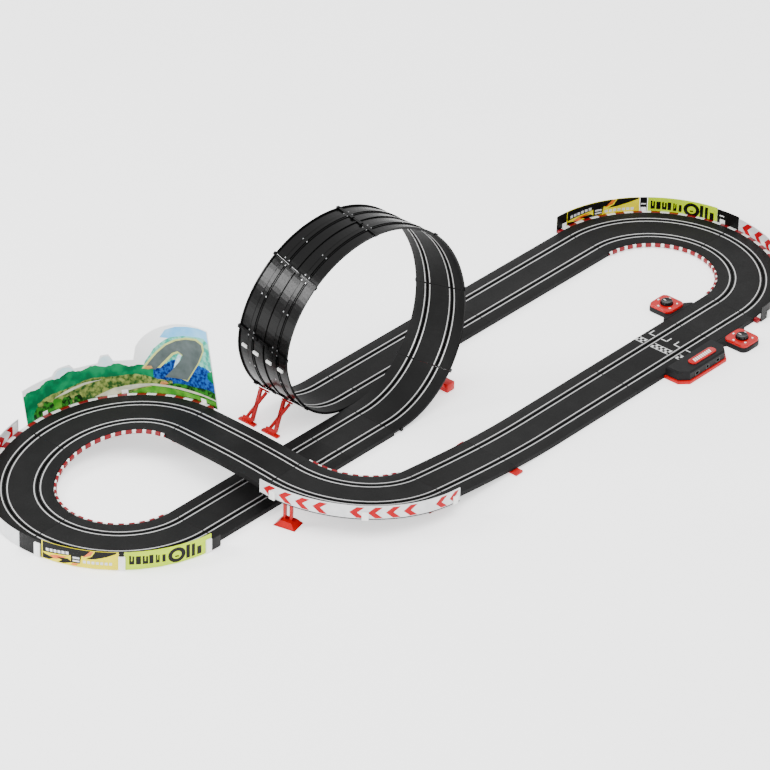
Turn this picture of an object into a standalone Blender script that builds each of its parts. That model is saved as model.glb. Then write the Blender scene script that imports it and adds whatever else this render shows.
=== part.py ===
"""Slot car track set: a two-lane plug-together circuit with a vertical loop and a bridge crossing.

Metres, +Z up. +X runs along the long straights, the floor is Z = 0, and the origin is the
middle of the set's footprint. The plan is laid out from the centre of the right-hand curve.
"""
import math

import bmesh
import bpy
from mathutils import Matrix, Vector

# Driving dimensions
LANE_WIDTH = 0.0570                    # one lane; slots are this far apart
TRACK_HALF = 0.0567                    # half of a track piece, with its joint clearance
TRACK_DEPTH = 0.0090                   # top of the road to the floor
PLATE = 0.0035                         # thickness of the road plate
SKIRT = 0.0022                         # side skirt thickness
SLOT_HALF = 0.0015
SLOT_DEPTH = 0.0055
CHANNEL_HALF = 0.0040                  # outside of the moulded channel under a slot
CHANNEL_DEPTH = 0.0072
CURVE_RADIUS = 0.1710                  # centre line of every 90 degree curve
JOINT_GAP = 0.00015                    # half of the gap between two pieces

STRAIGHT = 0.3420                      # full straight
FRONT_RUN = 0.8550                     # front straight, right curve to front curve
LEFT_X = -1.1970                       # centre of the left curve
LEFT_Y = 0.2280
BRIDGE_RUN = 0.2280
REAR_RUN = 0.6840                      # rear straight, right curve to the loop
UNDERPASS_END = -0.8550

BRIDGE_HEIGHT = 0.0570                 # rise of the road on the bridge
RISE_START = math.radians(120.0)       # turn of the left curve at which the road starts to rise
RISE_END = math.radians(280.0)
FALL_START = 0.0900                    # after the left curve
FALL_LENGTH = 0.7066

LOOP_X = -0.7225
LOOP_HALF_LENGTH = 0.1765
LOOP_HALF_HEIGHT = 0.1860
LOOP_PLATE = 0.0022                    # the loop's pieces are thinner, so that they bend
LOOP_DEPTH = 0.0046
LOOP_SLOT_DEPTH = 0.0034
LOOP_ENTRY_Y = 0.1710
LOOP_EXIT_Y = 0.0570
SHIFT_START = 1.345                    # loop angle at which the road begins to move sideways
SHIFT_END = 5.950
SHIFT_EASE = 0.718
LOOP_PIECES = 8
JOINT_SLANT = 1.2                      # radians round the loop for each metre across the road

KERB_WIDTH = 0.0090
FENCE_INNER = 0.0664                   # from the centre line to the fence
FENCE_THICK = 0.0020
CLIP_THICK = 0.0050
CLIP_LENGTH = 0.0100

CENTRE_X = -0.5971                     # middle of the footprint, from the right curve's centre
CENTRE_Y = 0.0977
STEP = math.radians(7.5)

BLACK = (0.028, 0.028, 0.030, 1.0)
GLOSS_BLACK = (0.012, 0.012, 0.013, 1.0)
RED = (0.560, 0.012, 0.014, 1.0)
WHITE = (0.800, 0.800, 0.790, 1.0)
LIME = (0.560, 0.730, 0.020, 1.0)
YELLOW = (0.880, 0.600, 0.010, 1.0)
GREEN = (0.060, 0.300, 0.120, 1.0)
STEEL = (0.550, 0.550, 0.560, 1.0)


# Basic helpers

def clear_scene():
    for thing in list(bpy.data.objects):
        bpy.data.objects.remove(thing, do_unlink=True)


def material(name, colour, roughness, metallic=0.0):
    mat = bpy.data.materials.new(name)
    mat.use_nodes = True
    shader = mat.node_tree.nodes["Principled BSDF"]
    shader.inputs["Base Color"].default_value = colour
    shader.inputs["Roughness"].default_value = roughness
    shader.inputs["Metallic"].default_value = metallic
    return mat


def place(point):
    """Plan coordinates to the set's own frame."""
    return Vector((point[0] - CENTRE_X, point[1] - CENTRE_Y, point[2]))


def finish(name, bm, colour, roughness, metallic=0.0, smooth=False, origin=None):
    bmesh.ops.recalc_face_normals(bm, faces=bm.faces[:])
    origin = place(origin) if origin is not None else Vector((0.0, 0.0, 0.0))
    bmesh.ops.translate(bm, verts=bm.verts[:], vec=-origin)
    mesh = bpy.data.meshes.new(name)
    bm.to_mesh(mesh)
    bm.free()
    obj = bpy.data.objects.new(name, mesh)
    obj.location = origin
    bpy.context.collection.objects.link(obj)
    obj.data.materials.append(material("mat_" + name, colour, roughness, metallic))
    if smooth:
        mesh.shade_smooth()
        mesh.set_sharp_from_angle(angle=math.radians(35.0))
    return obj


def sweep(name, rings, colour, roughness, **extra):
    """Closed body through a list of equal rings of plan points, capped at both ends."""
    bm = bmesh.new()
    loops = [[bm.verts.new(place(p)) for p in ring] for ring in rings]
    count = len(rings[0])
    for first, second in zip(loops[:-1], loops[1:]):
        for i in range(count):
            j = (i + 1) % count
            bm.faces.new((first[i], first[j], second[j], second[i]))
    bm.faces.new(list(reversed(loops[0])))
    bm.faces.new(loops[-1])
    return finish(name, bm, colour, roughness, **extra)


def prism(name, outline, z0, z1, colour, roughness, inset=0.0, drop=0.0, **extra):
    """Outline in plan, extruded from z0 to z1; its top may be chamfered by inset and drop."""
    bm = bmesh.new()
    base = bm.faces.new([bm.verts.new(place((x, y, z0))) for x, y in outline])
    top = bmesh.ops.extrude_face_region(bm, geom=[base])["geom"]
    verts = [v for v in top if isinstance(v, bmesh.types.BMVert)]
    bmesh.ops.translate(bm, verts=verts, vec=Vector((0.0, 0.0, z1 - drop - z0)))
    if inset:
        face = [f for f in top if isinstance(f, bmesh.types.BMFace)]
        bmesh.ops.recalc_face_normals(bm, faces=bm.faces[:])
        bmesh.ops.inset_region(bm, faces=face, thickness=inset)
        bmesh.ops.translate(bm, verts=face[0].verts[:], vec=Vector((0.0, 0.0, drop)))
    return finish(name, bm, colour, roughness, **extra)


def combine(obj, tool, operation):
    """Boolean with a hidden tool body."""
    tool.hide_render = True
    tool.display_type = "WIRE"
    modifier = obj.modifiers.new(operation.title(), "BOOLEAN")
    modifier.operation = operation
    modifier.solver = "EXACT"
    modifier.object = tool


def block(name, centre, axes, size, taper=1.0):
    """Box body of a size along three axes; its lower face may be wider by taper."""
    bm = bmesh.new()
    bmesh.ops.create_cube(bm, size=1.0)
    for vert in bm.verts:
        spread = taper if vert.co.z < 0.0 else 1.0
        local = Vector((vert.co.x * size[0] * spread, vert.co.y * size[1] * spread, vert.co.z * size[2]))
        vert.co = place(Vector(centre) + axes @ local)
    return finish(name, bm, RED, 0.4)


def cylinder(name, centre, radius, z0, z1, colour, roughness, segments=24, **extra):
    ring = [2.0 * math.pi * i / segments for i in range(segments)]
    outline = [(centre[0] + radius * math.cos(a), centre[1] + radius * math.sin(a)) for a in ring]
    return prism(name, outline, z0, z1, colour, roughness, **extra)


def rounded_rectangle(centre, width, depth, radius, steps=5):
    points = []
    for corner, (sx, sy) in enumerate(((1, 1), (-1, 1), (-1, -1), (1, -1))):
        cx = centre[0] + sx * (width / 2.0 - radius)
        cy = centre[1] + sy * (depth / 2.0 - radius)
        for i in range(steps + 1):
            angle = math.pi / 2.0 * (corner + i / steps)
            points.append((cx + radius * math.cos(angle), cy + radius * math.sin(angle)))
    return points


# Route of the road: each station is (point on the road, side vector to the right, up vector)

def ease(t):
    t = min(1.0, max(0.0, t))
    return t * t * (3.0 - 2.0 * t)


LEFT_LENGTH = CURVE_RADIUS * math.radians(270.0)
FRONT_CURVE_START = LEFT_LENGTH + BRIDGE_RUN
FRONT_CURVE_END = FRONT_CURVE_START + CURVE_RADIUS * math.radians(90.0)


def hill_height(s):
    """Rise of the road at a distance s from the start of the left curve."""
    start = CURVE_RADIUS * RISE_START
    up = ease((s - start) / (CURVE_RADIUS * (RISE_END - RISE_START)))
    down = ease((s - LEFT_LENGTH - FALL_START) / FALL_LENGTH)
    return TRACK_DEPTH + BRIDGE_HEIGHT * (up - down)


def hill_plan(s):
    """Plan point and heading from the left curve over the bridge to the right curve."""
    if s < LEFT_LENGTH:
        turn = s / CURVE_RADIUS
        angle = -math.pi / 2.0 - turn
        x = LEFT_X + CURVE_RADIUS * math.cos(angle)
        y = LEFT_Y + CURVE_RADIUS * math.sin(angle)
        return x, y, math.pi - turn
    if s < FRONT_CURVE_START:
        return LEFT_X + CURVE_RADIUS, LEFT_Y - (s - LEFT_LENGTH), -math.pi / 2.0
    if s < FRONT_CURVE_END:
        turn = (s - FRONT_CURVE_START) / CURVE_RADIUS
        x = -FRONT_RUN + CURVE_RADIUS * math.cos(math.pi + turn)
        y = CURVE_RADIUS * math.sin(math.pi + turn)
        return x, y, -math.pi / 2.0 + turn
    return -FRONT_RUN + (s - FRONT_CURVE_END), -CURVE_RADIUS, 0.0


def hill_station(s):
    x, y, heading = hill_plan(s)
    slope = (hill_height(s + 0.001) - hill_height(s - 0.001)) / 0.002
    tangent = Vector((math.cos(heading), math.sin(heading), slope)).normalized()
    side = Vector((math.sin(heading), -math.cos(heading), 0.0))
    return Vector((x, y, hill_height(s))), side, side.cross(tangent)


def hill_stations(start, end, pitch):
    count = max(1, round((end - start) / pitch))
    span = end - start - 2.0 * JOINT_GAP
    return [hill_station(start + JOINT_GAP + span * i / count) for i in range(count + 1)]


def straight_stations(x0, x1, y):
    side = Vector((0.0, 1.0, 0.0))
    return [(Vector((x, y, TRACK_DEPTH)), side, Vector((0.0, 0.0, 1.0))) for x in (x0, x1)]


def right_stations(a0, a1, pitch=STEP):
    """Stations around the right curve, between two plan angles."""
    count = max(1, round(abs(a1 - a0) / pitch))
    sign = 1.0 if a1 > a0 else -1.0
    gap = JOINT_GAP / CURVE_RADIUS * sign
    stations = []
    for i in range(count + 1):
        angle = a0 + gap + (a1 - a0 - 2.0 * gap) * i / count
        out = Vector((math.cos(angle), math.sin(angle), 0.0))
        point = out * CURVE_RADIUS + Vector((0.0, 0.0, TRACK_DEPTH))
        stations.append((point, out, Vector((0.0, 0.0, 1.0))))
    return stations


def loop_shift(angle):
    t = min(1.0, max(0.0, (angle - SHIFT_START) / (SHIFT_END - SHIFT_START)))
    return LOOP_ENTRY_Y + (LOOP_EXIT_Y - LOOP_ENTRY_Y) * ease(t ** SHIFT_EASE)


def loop_station(angle):
    """Road inside the loop: an ellipse seen from the side, sliding over by one track width."""
    x = LOOP_X - LOOP_HALF_LENGTH * math.sin(angle)
    z = TRACK_DEPTH + LOOP_HALF_HEIGHT * (1.0 - math.cos(angle))
    up = Vector((math.sin(angle) / LOOP_HALF_LENGTH, 0.0, math.cos(angle) / LOOP_HALF_HEIGHT))
    return Vector((x, loop_shift(angle), z)), Vector((0.0, 1.0, 0.0)), up.normalized()


# Track pieces

def road_section(plate=PLATE, skirt=TRACK_DEPTH, slot_depth=SLOT_DEPTH, channel=CHANNEL_DEPTH):
    """Section of a track piece: skirts, road plate, and a moulded channel for each slot."""
    slot = LANE_WIDTH / 2.0
    under = [(-TRACK_HALF, -skirt), (-TRACK_HALF + SKIRT, -skirt), (-TRACK_HALF + SKIRT, -plate)]
    for centre in (-slot, slot):
        under += [
            (centre - CHANNEL_HALF, -plate),
            (centre - CHANNEL_HALF, -channel),
            (centre + CHANNEL_HALF, -channel),
            (centre + CHANNEL_HALF, -plate),
        ]
    under += [(TRACK_HALF - SKIRT, -plate), (TRACK_HALF - SKIRT, -skirt), (TRACK_HALF, -skirt)]
    top = [(TRACK_HALF, 0.0)]
    for centre in (slot, -slot):
        top += [
            (centre + SLOT_HALF, 0.0),
            (centre + SLOT_HALF, -slot_depth),
            (centre - SLOT_HALF, -slot_depth),
            (centre - SLOT_HALF, 0.0),
        ]
    top.append((-TRACK_HALF, 0.0))
    return under + top


def rings_of(stations, section):
    return [[point + side * u + up * w for u, w in section] for point, side, up in stations]


def track_piece(name, stations, roughness=0.48, colour=BLACK):
    return sweep(name, rings_of(stations, road_section()), colour, roughness, smooth=True)


def build_right_end():
    quarter = math.pi / 2.0
    track_piece("track_right_curve_rear", right_stations(quarter, 0.0))
    track_piece("track_right_curve_front", right_stations(0.0, -quarter))


def build_rear_and_underpass():
    gap = JOINT_GAP
    track_piece("track_rear_straight_right", straight_stations(-gap, gap - STRAIGHT, LOOP_ENTRY_Y))
    track_piece("track_rear_straight_left", straight_stations(-STRAIGHT - gap, gap - REAR_RUN, LOOP_ENTRY_Y))
    exit_x = LOOP_X - 0.017
    track_piece("track_loop_exit_straight", straight_stations(exit_x - gap, UNDERPASS_END + gap, LOOP_EXIT_Y))
    track_piece("track_underpass_straight", straight_stations(UNDERPASS_END - gap, LEFT_X + gap, LOOP_EXIT_Y))


def build_hill():
    quarter = LEFT_LENGTH / 3.0
    pitch = CURVE_RADIUS * STEP
    for i, name in enumerate(("front", "side", "rear")):
        track_piece("track_left_curve_" + name, hill_stations(quarter * i, quarter * (i + 1), pitch))
    track_piece("track_bridge_straight", hill_stations(LEFT_LENGTH, FRONT_CURVE_START, 0.040))
    track_piece("track_front_curve", hill_stations(FRONT_CURVE_START, FRONT_CURVE_END, pitch))
    ramp_end = FRONT_CURVE_END + STRAIGHT / 2.0
    track_piece("track_front_ramp", hill_stations(FRONT_CURVE_END, ramp_end, 0.034))
    track_piece("track_front_straight", hill_stations(ramp_end, ramp_end + STRAIGHT, 0.057))


def loop_slant(angle):
    """How far round the loop a joint leans for each metre across, so that it stays square to the road."""
    return JOINT_SLANT * ease(angle - 0.3) * ease(2.0 * math.pi - 0.3 - angle)


def loop_ring(angle, section):
    """Section across the loop at an angle, each point taken a little further round to lean the joint."""
    ring = []
    for u, w in section:
        point, side, up = loop_station(angle + loop_slant(angle) * u)
        ring.append(point + side * u + up * w)
    return ring


def build_loop():
    """Eight pieces, the first with a straight lead-in and the last with a straight lead-out."""
    side, up = Vector((0.0, 1.0, 0.0)), Vector((0.0, 0.0, 1.0))
    section = road_section(LOOP_PLATE, LOOP_DEPTH, LOOP_SLOT_DEPTH, LOOP_DEPTH)
    span = 2.0 * math.pi / LOOP_PIECES
    gap = JOINT_GAP / LOOP_HALF_LENGTH
    for index in range(LOOP_PIECES):
        start = span * index + (gap if index else 0.0)
        end = span * (index + 1) - (gap if index < LOOP_PIECES - 1 else 0.0)
        rings = [loop_ring(start + (end - start) * i / 6, section) for i in range(7)]
        if index == 0:
            lead = Vector((-REAR_RUN - JOINT_GAP, LOOP_ENTRY_Y, TRACK_DEPTH))
            rings.insert(0, [lead + side * u + up * w for u, w in section])
        if index == LOOP_PIECES - 1:
            lead = Vector((LOOP_X - 0.017 + JOINT_GAP, LOOP_EXIT_Y, TRACK_DEPTH))
            rings.append([lead + side * u + up * w for u, w in section])
        sweep("loop_piece_%d" % (index + 1), rings, GLOSS_BLACK, 0.30, smooth=True)


# Power base

def build_power_base():
    gap = JOINT_GAP
    y = -CURVE_RADIUS
    track_piece("power_base_track", straight_stations(-STRAIGHT + gap, -0.114 - gap, y))
    edge = y - TRACK_HALF - 0.0003
    build_power_box(edge)


def box_outline(x0, x1, y0, y1, chamfer):
    return [(x0, y1), (x0, y0 + chamfer), (x0 + chamfer, y0), (x1 - chamfer, y0), (x1, y0 + chamfer), (x1, y1)]


def build_power_box(edge):
    """Red tray, black cover with three sockets in its outer wall, and a red label plate."""
    tray = box_outline(-0.2640, -0.1260, edge - 0.0470, edge, 0.0160)
    prism("power_box_tray", tray, 0.0, 0.0060, RED, 0.35)
    lid = box_outline(-0.2610, -0.1290, edge - 0.0440, edge, 0.0150)
    cover = prism("power_box_cover", lid, 0.0063, 0.0230, BLACK, 0.45, inset=0.0030, drop=0.0030)
    plate = rounded_rectangle((-0.1880, edge - 0.0255), 0.0700, 0.0180, 0.0080, 4)
    prism("power_box_label", plate, 0.0233, 0.0247, RED, 0.30)
    face = edge - 0.0440
    for name, x, width in (("jack_left", -0.2250, 0.0120), ("jack_right", -0.1650, 0.0120), ("inlet", -0.1950, 0.0100)):
        axes = Matrix.Identity(3)
        pocket = block("cut_" + name, (x, face + 0.0050, 0.0125), axes, (width + 0.0006, 0.0120, 0.0086))
        combine(cover, pocket, "DIFFERENCE")
        socket = block("power_" + name, (x, face + 0.0052, 0.0125), axes, (width, 0.0108, 0.0080))
        socket.data.materials[0].node_tree.nodes["Principled BSDF"].inputs["Base Color"].default_value = GLOSS_BLACK
        hole = block("hole_" + name, (x, face + 0.0030, 0.0125), axes, (width - 0.0040, 0.0110, 0.0052))
        combine(socket, hole, "DIFFERENCE")


# Lap counters

def neck_outline(x, inner, outer, flip):
    """Plate that widens from the counter to the edge of the track."""
    points = [(x - 0.0420, inner), (x - 0.0420, inner + 0.004 * flip), (x - 0.0255, inner + 0.016 * flip)]
    points += [(x - 0.0255, outer - 0.012 * flip), (x - 0.0135, outer), (x + 0.0135, outer)]
    points += [(x + 0.0255, outer - 0.012 * flip), (x + 0.0255, inner + 0.016 * flip)]
    points += [(x + 0.0420, inner + 0.004 * flip), (x + 0.0420, inner)]
    return points


def build_lap_counter(side, flip, track):
    """Housing, red dial cover, turning counter knob and the trip lever in its lane's slot."""
    x = -0.0750
    centre_line = -CURVE_RADIUS
    edge = centre_line + flip * (TRACK_HALF + 0.0003)
    middle = edge + flip * 0.0300
    outline = neck_outline(x, edge, edge + flip * 0.0560, flip)
    prism("lap_%s_housing" % side, outline, 0.0, 0.0092, BLACK, 0.45, inset=0.0012, drop=0.0012)
    square = rounded_rectangle((x, middle), 0.0490, 0.0490, 0.0180, 6)
    cover = prism("lap_%s_cover" % side, square, 0.0095, 0.0140, RED, 0.30, inset=0.0012, drop=0.0012)
    bore = cylinder("cut_%s_cover" % side, (x, middle), 0.0122, 0.0, 0.030, RED, 0.4, 32)
    combine(cover, bore, "DIFFERENCE")
    knob = cylinder("lap_%s_knob" % side, (x, middle), 0.0118, 0.0096, 0.0200, GLOSS_BLACK, 0.25, 32,
                    inset=0.0016, drop=0.0016, smooth=True, origin=(x, middle, 0.0096))
    finger = cylinder("cut_%s_finger" % side, (x, middle + 0.0062), 0.0028, 0.0180, 0.030, RED, 0.4, 16)
    combine(knob, finger, "DIFFERENCE")
    build_trip_lever(side, flip, track, x, centre_line)


def build_trip_lever(side, flip, track, x, centre_line):
    """Arm under the road that pivots on a boss and stands its pin up in the slot."""
    slot_y = centre_line + flip * LANE_WIDTH / 2.0
    pivot_y = centre_line + flip * 0.0455
    axes = Matrix.Identity(3)
    window = block("cut_%s_lever" % side, (x, slot_y + flip * 0.0020, 0.0015), axes, (0.0130, 0.0110, 0.0076))
    combine(track, window, "DIFFERENCE")
    boss = cylinder("boss_%s_lever" % side, (x, pivot_y), 0.0015, 0.0012, 0.0070, BLACK, 0.4, 12)
    combine(track, boss, "UNION")
    lever = block("lap_%s_lever" % side, (x, (slot_y + pivot_y) / 2.0, 0.0028), axes,
                  (0.0034, abs(pivot_y - slot_y), 0.0020))
    lever.data.transform(Matrix.Translation(-place((x, pivot_y, 0.0028))))
    lever.location = place((x, pivot_y, 0.0028))
    hub = cylinder("hub_%s_lever" % side, (x, pivot_y), 0.0036, 0.0016, 0.0040, STEEL, 0.4, 16)
    combine(lever, hub, "UNION")
    hole = cylinder("eye_%s_lever" % side, (x, pivot_y), 0.0019, 0.0, 0.0060, STEEL, 0.4, 12)
    combine(lever, hole, "DIFFERENCE")
    pin = cylinder("pin_%s_lever" % side, (x, slot_y), 0.0008, 0.0030, 0.0078, STEEL, 0.4, 8)
    combine(lever, pin, "UNION")


def build_lap_counter_track():
    gap = JOINT_GAP
    track = track_piece("lap_counter_track", straight_stations(-0.114 + gap, -gap, -CURVE_RADIUS))
    build_lap_counter("inner", 1.0, track)
    build_lap_counter("outer", -1.0, track)


# Supports

def unite(name, bars):
    """One body from overlapping bars, named after the support."""
    base = bars[0]
    base.name = name
    base.data.name = name
    for bar in bars[1:]:
        combine(base, bar, "UNION")
    return base


def build_loop_support(name, angle, offset, lean, foot_size=(0.0090, 0.0380, 0.0040)):
    """Hourglass strut that stands on a cross foot and props the loop square to its outer face."""
    point, side, up = loop_station(angle)
    top = point + side * offset - up * (LOOP_DEPTH + 0.0008)
    foot = Vector((top.x + lean, top.y, 0.0))
    along = (top - foot).normalized()
    across = Vector((0.0, 1.0, 0.0))
    thin = along.cross(across).normalized()
    axes = Matrix((across, thin, along)).transposed()
    length = (top - foot).length
    level = Matrix.Identity(3)
    tilt = Matrix((across, side.cross(up).normalized(), up)).transposed()
    bars = [block(name, foot + Vector((0.0, 0.0, foot_size[2] / 2.0)), level, foot_size)]
    pad = top - up * 0.0016
    bars.append(block("pad_" + name, pad, tilt, (0.0200, 0.0100, 0.0032)))
    slant = math.atan2(0.0130, length)
    for sign in (-1.0, 1.0):
        turn = Matrix.Rotation(sign * slant, 3, thin)
        centre = (pad + foot) / 2.0 + along * 0.0014
        bars.append(block("leg%d_%s" % (sign, name), centre, turn @ axes, (0.0042, 0.0036, length - 0.0070)))
    return unite(name, bars)


def build_loop_supports():
    left = 0.706
    right = 2.0 * math.pi - left
    build_loop_support("loop_support_left_rear", left, 0.0465, -0.0440)
    build_loop_support("loop_support_left_front", left, -0.0085, -0.0440)
    block_foot = (0.0200, 0.0240, 0.0170)
    build_loop_support("loop_support_right_rear", right, 0.0315, 0.0440, block_foot)
    build_loop_support("loop_support_right_front", right, -0.0235, 0.0440, block_foot)


def build_bridge_support(name, s, pillars, left=TRACK_HALF, right=TRACK_HALF):
    """Cross bar under the road on two-legged pillars with wide feet."""
    point, side, up = hill_station(s)
    forward = up.cross(side).normalized()
    tilt = Matrix((forward, side, up)).transposed()
    flat = Vector((forward.x, forward.y, 0.0)).normalized()
    level = Matrix((flat, side, Vector((0.0, 0.0, 1.0)))).transposed()
    under = point - up * (TRACK_DEPTH + 0.0012)
    bar = under - up * 0.0020 + side * ((right - left) / 2.0)
    bars = [block(name, bar, tilt, (0.0100, left + right, 0.0040))]
    height = bar.z
    foot_height = min(0.0100, height * 0.6)
    for offset in pillars:
        edge = under + side * offset
        spot = Vector((edge.x, edge.y, foot_height / 2.0))
        label = "%s_%d" % (name, round(offset * 1000))
        bars.append(block("foot_" + label, spot, level, (0.0220, 0.0160, foot_height), 1.8))
        for leg in (-1.0, 1.0):
            centre = Vector((edge.x, edge.y, height / 2.0)) + flat * (leg * 0.0062)
            post = block("post%d_%s" % (leg, label), centre, level, (0.0042, 0.0050, height - 0.0010))
            bars.append(post)
    return unite(name, bars)


def build_low_support(name, s):
    """Flat wedge under a nearly level joint, its ends showing beyond the road."""
    point, side, up = hill_station(s)
    height = point.z - TRACK_DEPTH - 0.0006
    axes = Matrix(((1.0, 0.0, 0.0), tuple(side), (0.0, 0.0, 1.0))).transposed()
    spot = Vector((point.x, point.y, height / 2.0))
    return block(name, spot, axes, (0.0180, 2.0 * TRACK_HALF + 0.0240, height))


def build_supports():
    build_loop_supports()
    crossing = CURVE_RADIUS * math.radians(13.0)
    rear = (("bridge_support_rear", 262.0), ("curve_support_rear", 222.0))
    for name, degrees in rear:
        build_bridge_support(name, CURVE_RADIUS * math.radians(degrees), (-0.0480, -0.0260), right=-0.0100)
    build_bridge_support("bridge_support_front", FRONT_CURVE_START + crossing, (-0.0480, 0.0530), right=0.0580)
    build_bridge_support("ramp_support_curve", FRONT_CURVE_END - 0.0060, (-0.0300, 0.0200), 0.0420, 0.0320)
    build_low_support("ramp_support_low", FRONT_CURVE_END + STRAIGHT / 2.0)


# Kerbs

def kerb_rings(stations, edge, widths, top, bottom):
    """Strip beside the road, its width taken for each station from widths."""
    sign = 1.0 if edge > 0.0 else -1.0
    rings = []
    for (point, side, up), width in zip(stations, widths):
        near = edge
        far = edge + sign * width
        section = ((near, top), (far, top - 0.0012), (far, bottom), (near, bottom))
        rings.append([point + side * u + Vector((0.0, 0.0, w)) for u, w in section])
    return rings


def toothed(count):
    """Pairs of stations for each block of a serrated kerb: position and width."""
    marks = []
    for i in range(count):
        width = 0.0062 if i % 2 else 0.0036
        marks.append(((i + 0.02) / count, width))
        marks.append(((i + 0.98) / count, width))
    return marks


def build_inner_kerb(name, station_at, start, end, count, side_sign):
    marks = toothed(count)
    stations = [station_at(start + (end - start) * t) for t, width in marks]
    widths = [width for t, width in marks]
    rings = kerb_rings(stations, side_sign * (TRACK_HALF + 0.0006), widths, -0.0004, -0.0070)
    sweep(name, rings, RED, 0.45)


def right_station(angle):
    out = Vector((math.cos(angle), math.sin(angle), 0.0))
    point = out * CURVE_RADIUS + Vector((0.0, 0.0, TRACK_DEPTH))
    return point, out, Vector((0.0, 0.0, 1.0))


def build_kerbs():
    turn = math.pi / 2.0
    trim = 0.0020
    build_inner_kerb("kerb_inner_right", right_station, turn - 0.02, 0.02 - turn, 39, -1.0)
    build_inner_kerb("kerb_inner_left", hill_station, trim, LEFT_LENGTH - trim, 57, 1.0)
    build_inner_kerb("kerb_inner_front", hill_station, FRONT_CURVE_START + trim, FRONT_CURVE_END - trim, 19, -1.0)
    build_outer_kerbs()


def build_outer_kerbs():
    edge = TRACK_HALF + 0.0003
    pitch = CURVE_RADIUS * STEP
    section = (-0.0004, -0.0080)
    stations = right_stations(math.pi / 2.0, -math.pi / 2.0)
    strips = [("kerb_outer_right", stations, 1.0)]
    strips.append(("kerb_outer_left", hill_stations(0.0, LEFT_LENGTH, pitch), -1.0))
    strips.append(("kerb_outer_front", hill_stations(FRONT_CURVE_START, FRONT_CURVE_END, pitch), 1.0))
    for name, stations, sign in strips:
        widths = [KERB_WIDTH] * len(stations)
        sweep(name, kerb_rings(stations, sign * edge, widths, *section), WHITE, 0.45)


# Fences and backdrop

def fence_marks(start, end, clips, pitch):
    """Positions along a fence with its wall thickness, thicker where a clip grips it."""
    marks = [(start, clips[0] <= start)]
    spots = [start + (end - start) * i / max(1, round((end - start) / pitch))
             for i in range(1, max(1, round((end - start) / pitch)))]
    half = CLIP_LENGTH / 2.0
    for spot in spots:
        if all(abs(spot - clip) > half + 0.0015 for clip in clips):
            marks.append((spot, False))
    for clip in clips:
        for offset, thick in ((-half - 0.0004, False), (-half, True), (half, True), (half + 0.0004, False)):
            if start < clip + offset < end:
                marks.append((clip + offset, thick))
    marks.append((end, clips[-1] >= end))
    return sorted(marks)


def build_fence(name, station_at, start, end, clips, sign, low, high, colour):
    rings = []
    for mark, thick in fence_marks(start, end, clips, 0.0180):
        point, side, up = station_at(mark)
        near = FENCE_INNER
        far = near + (CLIP_THICK if thick else FENCE_THICK)
        bottom = low - (0.0006 if thick else 0.0)
        top = high + (0.0015 if thick else 0.0)
        section = ((near, bottom), (far, bottom), (far, top), (near, top))
        rings.append([point + side * (sign * u) + Vector((0.0, 0.0, w)) for u, w in section])
    sweep(name, rings, colour, 0.40)


def left_mark(degrees):
    """Distance along the left curve of a plan angle about its centre."""
    return CURVE_RADIUS * math.radians(270.0 - degrees)


def right_mark_station(distance):
    """Right curve counted from its rear end."""
    return right_station(math.pi / 2.0 - distance / CURVE_RADIUS)


def right_mark(degrees):
    return CURVE_RADIUS * math.radians(90.0 - degrees)


def build_fences():
    start, end = FRONT_CURVE_START + 0.001, FRONT_CURVE_END + 0.010
    third = (end - start) / 3.0
    clips = (start + 0.020, start + third * 1.5, end - 0.012)
    build_fence("fence_front_chevrons", hill_station, start, end, clips, 1.0, -0.0070, 0.0200, WHITE)
    spans = (("lime", 269.0, 225.0, LIME, 0.0270), ("yellow", 224.6, 187.5, YELLOW, 0.0270),
             ("chevrons", 187.1, 92.0, WHITE, 0.0220))
    for label, first, last, colour, high in spans:
        start, end = left_mark(first), left_mark(last)
        clips = (start + 0.016, end - 0.0050)
        build_fence("fence_left_" + label, hill_station, start, end, clips, -1.0, -0.0080, high, colour)
    spans = (("yellow", 90.0, 47.0, YELLOW, 0.0270), ("lime", 46.6, 2.0, LIME, 0.0270),
             ("chevrons", 1.6, -88.0, WHITE, 0.0220))
    for label, first, last, colour, high in spans:
        start, end = right_mark(first), right_mark(last)
        clips = (start + 0.016, end - 0.0050)
        build_fence("fence_right_" + label, right_mark_station, start, end, clips, 1.0, -0.0080, high, colour)


def backdrop_height(degrees):
    """Low hills along most of the board, then a quarter ellipse up to the tall end."""
    arch = max(0.0, 1.0 - (max(0.0, degrees) / 35.0) ** 2)
    return 0.0600 + 0.0780 * math.sqrt(arch)


def build_backdrop():
    """Thin printed board that follows the rising outer edge and leans back."""
    rings = []
    count = 32
    first, last = left_mark(86.5), LEFT_LENGTH + 0.0080
    for i in range(count + 1):
        s = first + (last - first) * i / count
        point, side, up = hill_station(s)
        out = -side
        high = backdrop_height(270.0 - math.degrees(s / CURVE_RADIUS))
        near = FENCE_INNER + 0.0006
        ring = []
        for u, w in ((near, -0.0060), (near + 0.0014, -0.0060), (near + 0.0014, high), (near, high)):
            lean = Vector((0.0, 0.19 * (w + 0.0060), 0.0))
            ring.append(point + out * u + lean + Vector((0.0, 0.0, w)))
        rings.append(ring)
    sweep("backdrop_board", rings, GREEN, 0.55)


def build():
    clear_scene()
    build_right_end()
    build_rear_and_underpass()
    build_hill()
    build_loop()
    build_power_base()
    build_lap_counter_track()
    build_supports()
    build_kerbs()
    build_fences()
    build_backdrop()


build()
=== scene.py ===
"""Slot car track set: moulded track, printed barriers, supports and counters."""

import math

import bmesh
import bpy
from mathutils import Matrix, Vector


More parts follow.
